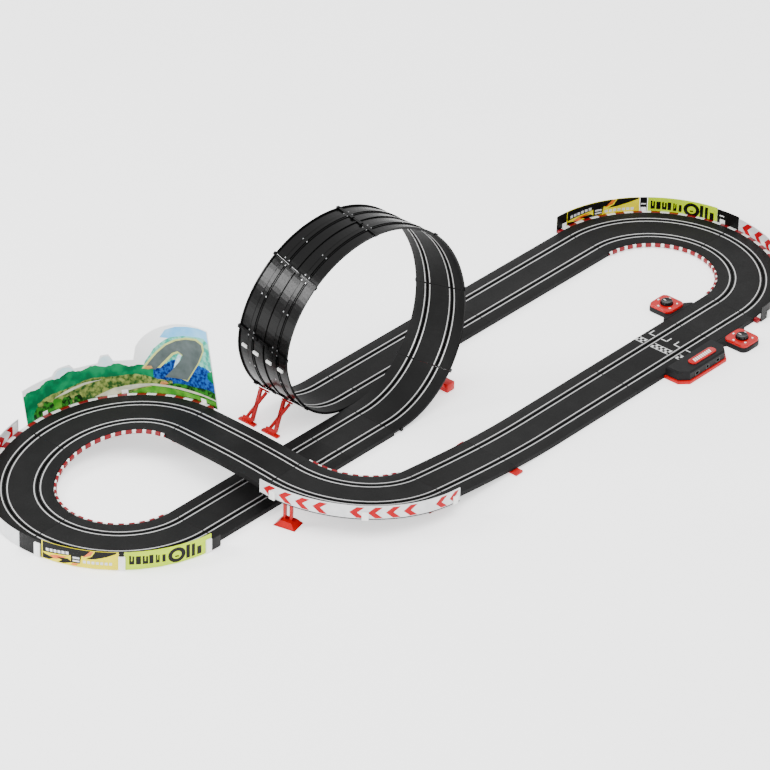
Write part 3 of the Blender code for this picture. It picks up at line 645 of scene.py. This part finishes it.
def bolt_shapes(start, end, low, high):
    """Black zig-zag flashes over a yellow board."""
    return on_board([
        [(0.0, 1.0), (0.0, 0.40), (0.10, 0.44), (0.30, 0.52), (0.44, 0.62), (0.58, 0.66), (0.66, 1.0)],
        [(0.0, 0.36), (0.03, 0.30), (0.16, 0.20), (0.10, 0.06), (0.0, 0.04)],
        [(0.20, 0.32), (0.36, 0.36), (0.42, 0.20), (0.30, 0.05), (0.22, 0.06), (0.28, 0.20)],
        [(0.72, 1.0), (0.99, 1.0), (0.99, 0.93), (0.86, 0.72), (0.72, 0.56), (0.60, 0.52), (0.68, 0.70)],
        [(0.40, 0.62), (0.54, 0.64), (0.52, 0.20), (0.40, 0.18)],
    ], start, end, low, high)


def orange_shapes(start, end, low, high):
    """Orange flames between the flashes."""
    return on_board([
        [(0.10, 0.30), (0.20, 0.42), (0.36, 0.46), (0.24, 0.24), (0.16, 0.16)],
        [(0.60, 0.98), (0.70, 0.98), (0.66, 0.72), (0.56, 0.58)],
        [(0.42, 0.16), (0.50, 0.18), (0.47, 0.06), (0.40, 0.05)],
    ], start, end, low, high)


def pale_shapes(start, end, low, high):
    """Pale blocks in two rows where a board would carry words."""
    blocks = [(0.05 + 0.056 * i, 0.040, 0.50 + 0.020 * i, 0.16) for i in range(6)]
    blocks += [(0.425, 0.090, 0.44, 0.10), (0.425, 0.090, 0.27, 0.09)]
    blocks += [(0.56 + 0.056 * i, 0.038, 0.26, 0.15) for i in range(7)]
    return on_board([box_shape(a, a + b, c, c + d) for a, b, c, d in blocks], start, end, low, high)


def print_boards(fence, lime, yellow):
    """Shapes of the lime and the yellow board, each board given by its ends in reading order."""
    fence.print_on("lime_shapes", lime_shapes(*lime, BOARD_LOW, BOARD_HIGH), BLACK_INK)
    for label, shapes, ink, lift in (("orange_patches", orange_shapes, ORANGE_INK, 0.00012),
                                     ("bolts", bolt_shapes, BLACK_INK, 0.00018),
                                     ("pale_blocks", pale_shapes, GREY_INK, 0.00032)):
        fence.print_on(label, shapes(*yellow, BOARD_LOW, BOARD_HIGH), ink, lift)


def left_mark(degrees):
    return RADIUS * math.radians(270.0 - degrees)


def right_mark(degrees):
    return RADIUS * math.radians(90.0 - degrees)


def build_front_barrier():
    start, end = FRONT_START + 0.001, FRONT_END + 0.010
    fence = Barrier("fence_front", hill_wall, 1.0, -0.0070)
    fence.wall(start, end, 0.0200, GREY_INK, "fence_front_chevrons", "board_chevron")
    arrows = row_of_chevrons(start + 0.004, end - 0.002, CHEVRON_PITCH, -0.0040, 0.0175, 1.0, skip=(4, 9))
    fence.print_on("arrows", arrows, RED_INK)
    fence.print_on("foot_line", [box_shape(start + 0.0005, end - 0.0005, -0.0069, -0.0052)], BLACK_INK,
                   0.0003)
    fence.clips((start + 0.020, (start + end) / 2.0, end - 0.012), 0.0085)


def build_left_barrier():
    fence = Barrier("fence_left", hill_wall, -1.0, BOARD_LOW)
    stretches = [(269.0, 264.0, 0.0150, BLACK_INK),
                 (263.8, 225.4, BOARD_HIGH, LIME_INK, "fence_left_lime", "board_lime"),
                 (225.2, 223.4, BOARD_HIGH, BLACK_INK),
                 (223.2, 190.2, BOARD_HIGH, YELLOW_INK, "fence_left_yellow", "board_yellow"),
                 (190.0, 178.5, 0.0235, BLACK_INK),
                 (178.3, 92.0, 0.0220, GREY_INK, "fence_left_chevrons", "board_chevron")]
    for first, last, *board in stretches:
        fence.wall(left_mark(first), left_mark(last), *board)
    # This side reads from the far end of the run, so its shapes are set out backwards
    print_boards(fence, (left_mark(226.2), left_mark(260.2)), (left_mark(190.8), left_mark(222.6)))
    arrows = row_of_chevrons(left_mark(177.5), left_mark(93.0), CHEVRON_PITCH, -0.0045, 0.0190, -1.0)
    fence.print_on("arrows", arrows, RED_INK, both=False)
    fence.clips([left_mark(a) for a in (262.2, 224.4, 188.2, 150.0, 120.0, 94.5)], 0.0190)


def build_right_barrier():
    fence = Barrier("fence_right", right, 1.0, BOARD_LOW)
    stretches = [(90.0, 83.6, BOARD_HIGH, BLACK_INK),
                 (83.4, 46.0, BOARD_HIGH, YELLOW_INK, "fence_right_yellow", "board_yellow"),
                 (45.8, 42.5, BOARD_HIGH, BLACK_INK),
                 (42.3, 9.4, BOARD_HIGH, LIME_INK, "fence_right_lime", "board_lime"),
                 (9.2, -2.4, 0.0250, BLACK_INK),
                 (-2.6, -76.0, 0.0220, GREY_INK, "fence_right_chevrons", "board_chevron"),
                 (-76.2, -88.0, 0.0220, BLACK_INK)]
    for first, last, *board in stretches:
        fence.wall(right_mark(first), right_mark(last), *board)
    print_boards(fence, (right_mark(42.0), right_mark(9.6)), (right_mark(83.2), right_mark(46.2)))
    arrows = row_of_chevrons(right_mark(-4.0), right_mark(-75.0), CHEVRON_PITCH, -0.0060, 0.0205, 1.0)
    fence.print_on("arrows", arrows, RED_INK)
    marks = [box_shape(right_mark(a) - 0.0035, right_mark(a) + 0.0035, 0.0120, 0.0142) for a in (44.2, 6.8)]
    fence.print_on("white_marks", marks, CLIP_WHITE, 0.0003)
    fence.clips([right_mark(a) for a in (85.0, 44.2, 6.4, -20.0, -52.0, -82.0)], 0.0060)


# Backdrop

def board_height(degrees):
    arch = max(0.0, 1.0 - (max(0.0, degrees) / 36.0) ** 2)
    clouds = 0.0100 * ease((5.0 - abs(degrees - 66.0)) / 2.0) + 0.0140 * ease((3.6 - abs(degrees - 47.8)) / 2.0)
    return 0.0600 + clouds + 0.0830 * math.sqrt(arch)


def skyline(first, last, height, bumps, size):
    """Bumpy upper edge from one plan angle to another, closed along the foot of the board."""
    count = 56
    outline = []
    for i in range(count + 1):
        t = i / count
        wobble = 0.5 + 0.5 * math.sin(bumps * t) + 0.35 * abs(math.sin(bumps * 2.7 * t + 1.3))
        outline.append((first + (last - first) * t, height(t) + size * wobble))
    return outline


def board_print(name, outline, layer, material, foot=None):
    """Printed layer on the board's face, its outline in plan degrees and metres."""
    points = [(left_mark(degrees), w) for degrees, w in outline]
    if foot is not None:
        points += [(points[-1][0], foot), (points[0][0], foot)]
    bm = bmesh.new()
    plate(bm, points, -FENCE - 0.0006, 0.00012 * layer)
    bmesh.ops.triangulate(bm, faces=[face for face in bm.faces if len(face.verts) > 4])
    make("backdrop_" + name, bm, material, backdrop, cut=0.008, smooth=20.0)


def drawn_out(points, share):
    """Outline in plan degrees and metres, scaled about the middle of the hairpin bend."""
    return [(14.0 + (a - 14.0) * share, 0.066 + (b - 0.066) * share) for a, b in points]


def build_backdrop():
    first, last = left_mark(86.5), LEFT_LENGTH + 0.0080
    bm = bmesh.new()
    tops = [(s, board_height(270.0 - math.degrees(s / RADIUS))) for s in marks_between(first, last, 0.005)]
    plate(bm, [*tops, (last, -0.0060), (first, -0.0060)], -FENCE - 0.0020, 0.0014)
    bmesh.ops.triangulate(bm, faces=[face for face in bm.faces if len(face.verts) > 4])
    make("backdrop_card", bm, CARD_WHITE, backdrop, cut=0.006, stands_for=("backdrop_board",))
    end = -2.4
    board_print("sky", [(23.0, 0.106), (20.0, 0.122), (15.0, 0.131), (9.0, 0.137), (3.0, 0.141),
                        (end, 0.1415),
                        (end, 0.110)], 1, SKY_INK)
    for label, at, wide, high in (("cloud_left", 66.0, 4.4, 0.0680), ("cloud_mid", 47.8, 3.0, 0.0720)):
        board_print(label, [(at + wide, 0.040), (at - wide, 0.040), (at - wide, high - 0.009),
                            (at - wide * 0.6, high - 0.002),
                            (at, high), (at + wide * 0.6, high - 0.003), (at + wide, high - 0.012)], 1,
                    CLOUD_INK)
    halo = [(33.0, 0.040), (31.0, 0.058), (28.5, 0.071), (26.5, 0.083), (24.0, 0.092), (21.0, 0.102),
            (18.0, 0.109),
            (11.5, 0.117), (4.0, 0.123), (0.5, 0.125), (end, 0.118), (end, 0.066), (6.0, 0.066),
            (20.0, 0.040)]
    board_print("far_trees", halo, 2, HAZE_INK)
    rise = skyline(86.4, 26.5, lambda t: 0.0425 + 0.0095 * math.sin(math.pi * min(1.0, t * 0.95 + 0.06)),
                   37.0, 0.0052)
    board_print("treeline", rise, 3, TREE_INK, foot=-0.0058)
    shore = skyline(29.0, end, lambda t: 0.040 + 0.028 * math.sin(min(1.0, t * 1.1) * 2.3), 23.0, 0.0040)
    board_print("water", shore, 3, WATER_INK, foot=0.0120)
    board_print("far_bank", [(1.6, 0.048), (1.0, 0.060), (end, 0.067), (end, 0.042)], 4, TREE_INK)
    outer = [(32.0, 0.045), (29.0, 0.060), (25.2, 0.077), (20.8, 0.093), (15.8, 0.105), (10.4, 0.113),
             (5.0, 0.117),
             (2.0, 0.112), (1.8, 0.100), (5.2, 0.074), (9.0, 0.052), (12.6, 0.031)]
    inner = [(22.8, 0.032), (18.8, 0.048), (14.6, 0.068), (13.2, 0.079), (15.4, 0.084), (18.2, 0.078),
             (22.0, 0.062),
             (26.4, 0.044)]
    board_print("road_verge", drawn_out(outer, 1.05) + drawn_out(inner, 0.86), 5, VERGE_INK)
    board_print("road", drawn_out(outer, 0.97) + drawn_out(inner, 1.05), 6, ROAD_INK)
    board_print("island_foam", [(17.0, 0.066), (15.4, 0.078), (13.8, 0.079), (15.6, 0.062), (18.5, 0.050)],
                5, FOAM_INK)
    for i, (at, high) in enumerate(((30.0, 0.046), (24.0, 0.018))):
        board_print("bank_%d" % (i + 1), [(at + 2.0, high - 0.002), (at + 1.2, high + 0.003),
                                          (at - 1.4, high + 0.004),
                                          (at - 2.0, high), (at, high - 0.003)], 7, BANK_INK)
    scrub = skyline(80.0, 20.0, lambda t: 0.016 + 0.015 * math.sin(math.pi * min(1.0, t * 0.8 + 0.08)),
                    19.0, 0.0036)
    board_print("scrub", scrub, 4, SCRUB_INK, foot=-0.0058)
    meadow = skyline(30.0, end, lambda t: 0.017 + 0.008 * t, 17.0, 0.0015)
    board_print("meadow", meadow, 4, BUSH_INK, foot=-0.0058)
    board_print("pale_bank", [(72.0, 0.019), (66.0, 0.025), (58.0, 0.030), (50.0, 0.029), (58.0, 0.026),
                              (66.0, 0.020)],
                5, SAND_INK)
    board_print("sand", [(54.5, -0.001), (46.0, 0.010), (37.0, 0.0140), (29.0, 0.0160), (22.0, 0.0150),
                         (12.0, 0.0135),
                         (end, 0.0120), (end, 0.0095), (12.0, 0.009), (22.0, 0.0110), (30.0, 0.0120),
                         (41.5, 0.0020),
                         (46.0, -0.004)], 5, SAND_INK)
    board_print("grass", [(40.0, -0.003), (34.5, 0.0055), (28.0, 0.0115), (22.0, 0.0100), (12.0, 0.0070),
                          (end, 0.0065), (end, 0.0)], 5, GRASS_INK)
    for i, (at, size) in enumerate(((80.0, 0.014), (75.5, 0.017), (71.0, 0.015), (66.5, 0.013),
                                    (61.5, 0.010))):
        bush = [(at + size * 190.0 * math.cos(a),
                 0.002 + size * math.sin(a) * (1.0 + 0.12 * math.sin(5.0 * a + i)))
                for a in [math.pi * k / 12.0 for k in range(13)]]
        board_print("bush_%d" % (i + 1), bush, 6 + i % 2, GRASS_INK if i % 3 == 2 else BUSH_INK,
                    foot=-0.0050)
    clips = bmesh.new()
    for degrees in (77.0, 41.5, 5.5):
        s = left_mark(degrees)
        brick(clips, (s - 0.0045, s + 0.0045), (-FENCE - 0.0040, -FENCE + 0.0004), (-0.0075, 0.0050),
              0.0012, 2)
    make("backdrop_clips", clips, CLIP_WHITE, backdrop)


# Supports

def bar(bm, centre, axes, size, taper=1.0, soft=0.0007):
    """Beam of a size along three axes; its lower end may be wider by taper."""
    made = bmesh.ops.create_cube(bm, size=1.0)
    edges = list({edge for vert in made["verts"] for edge in vert.link_edges})
    for vert in made["verts"]:
        spread = taper if vert.co.z < 0.0 else 1.0
        local = Vector((vert.co.x * size[0] * spread, vert.co.y * size[1] * spread, vert.co.z * size[2]))
        vert.co = Vector(centre) - CENTRE + axes @ local
    soften(bm, edges, min(soft, min(size) * 0.3), 2)


def loop_frame(angle, offset):
    """Point on the loop's outer face with the road's up direction there."""
    up = Vector((math.sin(angle) / LOOP_A, 0.0, math.cos(angle) / LOOP_B)).normalized()
    road = Vector((LOOP_X - LOOP_A * math.sin(angle), loop_shift(angle) + offset,
                   DEPTH + LOOP_B * (1.0 - math.cos(angle))))
    return road, up


def loop_support(name, angle, offset, lean, block_foot=False):
    """Hourglass strut on a cross foot, or on a block."""
    road, up = loop_frame(angle, offset)
    top = road - up * (LOOP_DEPTH + 0.0008)
    foot = Vector((top.x + lean, top.y, 0.0))
    along = (top - foot).normalized()
    across = Vector((0.0, 1.0, 0.0))
    thin = along.cross(across).normalized()
    axes = Matrix((across, thin, along)).transposed()
    tilt = Matrix((across, across.cross(up).normalized(), up)).transposed()
    length = (top - foot).length
    bm = bmesh.new()
    if block_foot:
        bar(bm, foot + UP * 0.0085, Matrix.Identity(3), (0.0200, 0.0240, 0.0170), 1.0, 0.0012)
    else:
        bar(bm, foot + UP * 0.0020, Matrix.Identity(3), (0.0090, 0.0380, 0.0040))
        bar(bm, foot + UP * 0.0060 + along * 0.001, axes, (0.0230, 0.0062, 0.0090))
    pad = top - up * 0.0016
    bar(bm, pad, tilt, (0.0200, 0.0100, 0.0032))
    slant = math.atan2(0.0170, length)
    for sign in (-1.0, 1.0):
        turned = Matrix.Rotation(sign * slant, 3, thin) @ axes
        bar(bm, (pad + foot) / 2.0 + along * 0.0026, turned, (0.0054, 0.0042, length - 0.0094))
    make(name + "_strut", bm, RED, stands_for=(name,))


def bridge_support(name, s, pillars, left=HALF, right_end=HALF):
    """Cross bar under the road on two-legged pillars with flared feet."""
    heading = hill_plan(s)[2]
    side = Vector((math.sin(heading), -math.cos(heading), 0.0))
    point = hill(s, 0.0, 0.0)
    up = (hill(s, 0.0, 1.0) - point).normalized()
    forward = up.cross(side).normalized()
    tilt = Matrix((forward, side, up)).transposed()
    flat = Vector((forward.x, forward.y, 0.0)).normalized()
    level = Matrix((flat, side, UP)).transposed()
    under = point - up * (DEPTH + 0.0012)
    beam = under - up * 0.0020 + side * ((right_end - left) / 2.0)
    bm = bmesh.new()
    bar(bm, beam, tilt, (0.0100, left + right_end, 0.0040))
    height = beam.z
    foot_height = min(0.0100, height * 0.6)
    for offset in pillars:
        edge = under + side * offset
        bar(bm, (edge.x, edge.y, foot_height / 2.0), level, (0.0220, 0.0160, foot_height), 1.8, 0.0012)
        for leg in (-1.0, 1.0):
            spot = Vector((edge.x, edge.y, height / 2.0)) + flat * (leg * 0.0062)
            bar(bm, spot, level, (0.0042, 0.0050, height - 0.0010))
    # The rounded corners of the flared feet stay flat on the floor
    for vert in bm.verts:
        vert.co.z = max(vert.co.z, 0.0)
    make(name + "_stand", bm, RED, stands_for=(name,))


def build_supports():
    left = 0.706
    loop_support("loop_support_left_rear", left, 0.0465, -0.0440)
    loop_support("loop_support_left_front", left, -0.0085, -0.0440)
    loop_support("loop_support_right_rear", 2.0 * math.pi - left, 0.0315, 0.0440, True)
    loop_support("loop_support_right_front", 2.0 * math.pi - left, -0.0235, 0.0440, True)
    for name, degrees in (("bridge_support_rear", 262.0), ("curve_support_rear", 222.0)):
        bridge_support(name, RADIUS * math.radians(degrees), (-0.0480, -0.0260), right_end=-0.0100)
    bridge_support("bridge_support_front", FRONT_START + RADIUS * math.radians(13.0), (-0.0480, 0.0530),
                   right_end=0.0580)
    bridge_support("ramp_support_curve", FRONT_END - 0.0060, (-0.0300, 0.0200), 0.0420, 0.0320)
    s = FRONT_END + STRAIGHT / 2.0
    height = hill_height(s) - DEPTH - 0.0006
    bm = bmesh.new()
    x, y, _ = hill_plan(s)
    bar(bm, (x, y, height / 2.0), Matrix.Identity(3), (0.0180, 2.0 * HALF + 0.0240, height))
    make("ramp_support_low_wedge", bm, RED, stands_for=("ramp_support_low",))


# Power base and lap counters

def outline_prism(bm, outline, low, high, soft):
    """Outline in plan, extruded, with its upper rim rounded."""
    base = bm.faces.new([bm.verts.new((x - CENTRE.x, y - CENTRE.y, low)) for x, y in outline])
    top = pull(bm, base, (0.0, 0.0, high - low))
    soften(bm, top.edges[:], soft, 2)


def rounded_square(x, y, width, depth, radius):
    points = []
    steps = 7
    for corner, (sx, sy) in enumerate(((1, 1), (-1, 1), (-1, -1), (1, -1))):
        for i in range(steps + 1):
            angle = QUARTER * (corner + i / steps)
            points.append((x + sx * (width / 2.0 - radius) + radius * math.cos(angle),
                           y + sy * (depth / 2.0 - radius) + radius * math.sin(angle)))
    return points


def box_outline(x0, x1, y0, y1, chamfer):
    return [(x0, y1), (x0, y0 + chamfer), (x0 + chamfer, y0), (x1 - chamfer, y0), (x1, y0 + chamfer),
            (x1, y1)]


def build_power_box():
    edge = -RADIUS - HALF - 0.0003
    bm = bmesh.new()
    outline_prism(bm, box_outline(-0.2640, -0.1260, edge - 0.0470, edge, 0.0160), 0.0, 0.0060, 0.0010)
    make("power_box_tray_shell", bm, RED, stands_for=("power_box_tray",))
    bm = bmesh.new()
    outline_prism(bm, rounded_square(-0.1880, edge - 0.0255, 0.0700, 0.0180, 0.0080), 0.0233, 0.0247,
                  0.0005)
    make("power_box_label_plate", bm, RED_GLOSS, stands_for=("power_box_label",))
    bm = bmesh.new()
    for i in range(9):
        x = -0.1880 - 0.0255 + 0.0055 * i
        plate(bm, [(x - CENTRE.x + a, edge - 0.0255 - CENTRE.y + b) for a, b in
                   ((0.0, -0.0042), (0.0034, -0.0042), (0.0064, 0.0042), (0.0030, 0.0042))], 0.0246, 0.0003,
              wall=False)
    make("power_box_label_stripes", bm, CLIP_WHITE)
    for name, material in (("power_box_cover", BLACK), ("power_jack_left", BLACK_GLOSS),
                           ("power_jack_right", BLACK_GLOSS),
                           ("power_inlet", BLACK_GLOSS), ("lap_inner_lever", STEEL),
                           ("lap_outer_lever", STEEL)):
        recolour(name, material)


COVER_CORNER = 0.0100
COVER_HALF = 0.0245
COVER_BASE = 0.0095
DIAL_HOLE = 0.0122


def build_lap_counter(label, flip):
    x, middle = -0.0750, -RADIUS + flip * (HALF + 0.0003 + 0.0300)
    edge = -RADIUS + flip * (HALF + 0.0003)
    far = edge + flip * 0.0560
    points = [(-0.0420, edge), (-0.0420, edge + 0.004 * flip), (-0.0255, edge + 0.016 * flip),
              (-0.0255, far - 0.012 * flip), (-0.0225, far - 0.005 * flip), (-0.0135, far)]
    outline = [(x + a, y) for a, y in points] + [(x - a, y) for a, y in reversed(points)]
    bm = bmesh.new()
    outline_prism(bm, outline, 0.0, 0.0092, 0.0012)
    outline_prism(bm, rounded_square(x, middle, 0.0508, 0.0508, 0.0110), 0.0, 0.0094, 0.0012)
    make("lap_%s_housing_shell" % label, bm, BLACK, stands_for=("lap_%s_housing" % label,))
    bm = bmesh.new()
    steps = 48
    ring = []
    for i in range(steps):
        a = 2.0 * math.pi * i / steps
        flat, small = max(abs(math.cos(a)), abs(math.sin(a))), min(abs(math.cos(a)), abs(math.sin(a)))
        reach = COVER_HALF / flat
        corner = COVER_HALF - COVER_CORNER
        if reach * small > corner:
            along = corner * (flat + small)
            reach = along + math.sqrt(along ** 2 - 2.0 * corner ** 2 + COVER_CORNER ** 2)
        ring.append((a, reach))
    lower = [bm.verts.new((x + r * math.cos(a) - CENTRE.x, middle + r * math.sin(a) - CENTRE.y,
                           COVER_BASE)) for a, r in ring]
    loops = [[bm.edges.new((lower[i], lower[(i + 1) % steps])) for i in range(steps)]]
    for scale, lift in ((1.0, 0.0032), (0.965, 0.0045), (None, 0.0045), (None, 0.0)):
        grown = bmesh.ops.extrude_edge_only(bm, edges=loops[-1])["geom"]
        verts = [p for p in grown if isinstance(p, bmesh.types.BMVert)]
        loops.append([p for p in grown if isinstance(p, bmesh.types.BMEdge) and all(v in verts for v in p.verts)])
        for vert in verts:
            out = Vector((vert.co.x + CENTRE.x - x, vert.co.y + CENTRE.y - middle))
            length = out.length * scale if scale else DIAL_HOLE
            out = out.normalized() * length
            vert.co = Vector((x + out.x - CENTRE.x, middle + out.y - CENTRE.y, COVER_BASE + lift))
    bmesh.ops.bridge_loops(bm, edges=loops[0] + loops[-1])
    make("lap_%s_cover_shell" % label, bm, RED_GLOSS, stands_for=("lap_%s_cover" % label,))
    bm = bmesh.new()
    for i in range(5):
        turn = Matrix.Rotation(math.radians(72.0 * i + 20.0), 3, "Z")
        spot = Vector((x, middle, 0.0139)) + turn @ Vector((0.0190, 0.0, 0.0))
        bar(bm, spot, turn, (0.0030, 0.0040, 0.0006), soft=0.0002)
    make("lap_%s_dial_marks" % label, bm, CLIP_WHITE)
    bm = bmesh.new()
    hub = (x - CENTRE.x, middle - CENTRE.y)
    bmesh.ops.create_cone(bm, cap_ends=True, segments=48, radius1=0.0118, radius2=0.0106, depth=0.0104,
                          matrix=Matrix.Translation((*hub, 0.0148)))
    top = max(bm.faces, key=lambda f: f.calc_center_median().z)
    soften(bm, top.edges[:], 0.0012, 3)
    top = max((f for f in bm.faces if len(f.verts) > 12), key=lambda f: f.calc_center_median().z)
    bmesh.ops.inset_region(bm, faces=[top], thickness=0.0018)
    bmesh.ops.translate(bm, verts=top.verts[:], vec=(0.0, 0.0, -0.0010))
    for i in range(12):
        turn = Matrix.Rotation(math.pi / 6.0 * i, 3, "Z")
        bar(bm, Vector((x, middle, 0.0140)) + turn @ Vector((0.0112, 0.0, 0.0)), turn,
            (0.0010, 0.0018, 0.0080), soft=0.0002)
    make("lap_%s_knob_turned" % label, bm, BLACK_GLOSS, body=label + "_knob",
         stands_for=("lap_%s_knob" % label,))
    bm = bmesh.new()
    brick(bm, (hub[0] - 0.0008, hub[0] + 0.0008), (hub[1] + 0.0020, hub[1] + 0.0078), (0.0186, 0.0194),
          0.0002)
    make("lap_%s_knob_pointer" % label, bm, CLIP_WHITE, body=label + "_knob")


# Markings on the start straight

def build_markings():
    route = straight(-RADIUS)
    bm = bmesh.new()
    line, lift = 0.0022, 0.00012
    lanes = [(-0.0560, -0.0370), (-0.0200, 0.0200), (0.0370, 0.0560)]

    def band(s0, s1, u0, u1):
        brick(bm, (s0, s1), (u0, u1), (-0.0002, lift), 0.0)

    start = 0.1930
    for low, high in lanes:
        for edge in (start, start + 0.0140):
            band(edge, edge + line * 0.7, low, high)
        count = max(2, round((high - low) / 0.0050))
        size = (high - low) / count
        for row in range(2):
            for i in range(count):
                if (i + row) % 2 == 0:
                    s = start + 0.0022 + 0.0059 * row
                    band(s, s + 0.0055, low + size * i + 0.0004, low + size * (i + 1) - 0.0004)
    for u in (-0.0355, -0.0215, 0.0215, 0.0355):
        sign = 1.0 if abs(u) > 0.028 else -1.0
        out = math.copysign(1.0, u) * sign
        s = 0.1730
        band(s, s + line, min(u, u + out * 0.0130), max(u, u + out * 0.0130))
        band(s - 0.0130, s + line, u + out * 0.0130 - line / 2.0, u + out * 0.0130 + line / 2.0)
    make("start_grid_marks", bm, WHITE_INK, route)


build_track()
build_loop()
build_kerbs()
build_front_barrier()
build_left_barrier()
build_right_barrier()
build_backdrop()
build_supports()
build_power_box()
build_lap_counter("inner", 1.0)
build_lap_counter("outer", -1.0)
build_markings()


# Floor, lights and camera

def build_stage():
    bm = bmesh.new()
    bmesh.ops.create_grid(bm, x_segments=2, y_segments=2, size=14.0)
    mesh = bpy.data.meshes.new("floor")
    bm.to_mesh(mesh)
    bm.free()
    mesh.materials.append(FLOOR)
    floor = bpy.data.objects.new("floor", mesh)
    floor.location.z = -0.0006
    bpy.context.scene.collection.objects.link(floor)
    world = bpy.data.worlds.new("studio")
    bpy.context.scene.world = world
    world.use_nodes = True
    back = world.node_tree.nodes["Background"]
    back.inputs["Color"].default_value = linear("#f8f8f8")
    back.inputs["Strength"].default_value = 1.7


def soft_light(name, place, aim, size, power):
    """Square soft box that faces its aim."""
    data = bpy.data.lights.new(name, "AREA")
    data.shape, data.size, data.energy = "SQUARE", size, power
    lamp = bpy.data.objects.new(name, data)
    lamp.location = place
    lamp.rotation_mode = "QUATERNION"
    lamp.rotation_quaternion = (Vector(aim) - Vector(place)).to_track_quat("-Z", "Y")
    bpy.context.scene.collection.objects.link(lamp)


def build_camera():
    azimuth, elevation, roll = math.radians(-49.77), math.radians(32.246), math.radians(1.61)
    back = Vector((math.sin(azimuth) * math.cos(elevation), -math.cos(azimuth) * math.cos(elevation),
                   math.sin(elevation)))
    across = (-back).cross(UP).normalized()
    above = across.cross(-back)
    x_axis = across * math.cos(roll) + above * math.sin(roll)
    y_axis = above * math.cos(roll) - across * math.sin(roll)
    data = bpy.data.cameras.new("camera")
    camera = bpy.data.objects.new("camera", data)
    target = Vector((-0.0390, 0.0152, 0.0090))
    data.sensor_width, data.lens = 36.0, 221.6
    data.clip_start, data.clip_end = 0.1, 60.0
    camera.matrix_world = Matrix.Translation(target + back * 8.4504) @ Matrix((x_axis, y_axis,
                                                                               back)).transposed().to_4x4()
    bpy.context.scene.collection.objects.link(camera)
    bpy.context.scene.camera = camera


build_stage()
soft_light("overhead", (-1.0, -0.8, 4.2), (0.0, 0.0, 0.0), 3.6, 170.0)
soft_light("rear_left", (-2.6, 2.3, 1.75), (-0.1, 0.0, 0.2), 1.1, 95.0)
build_camera()
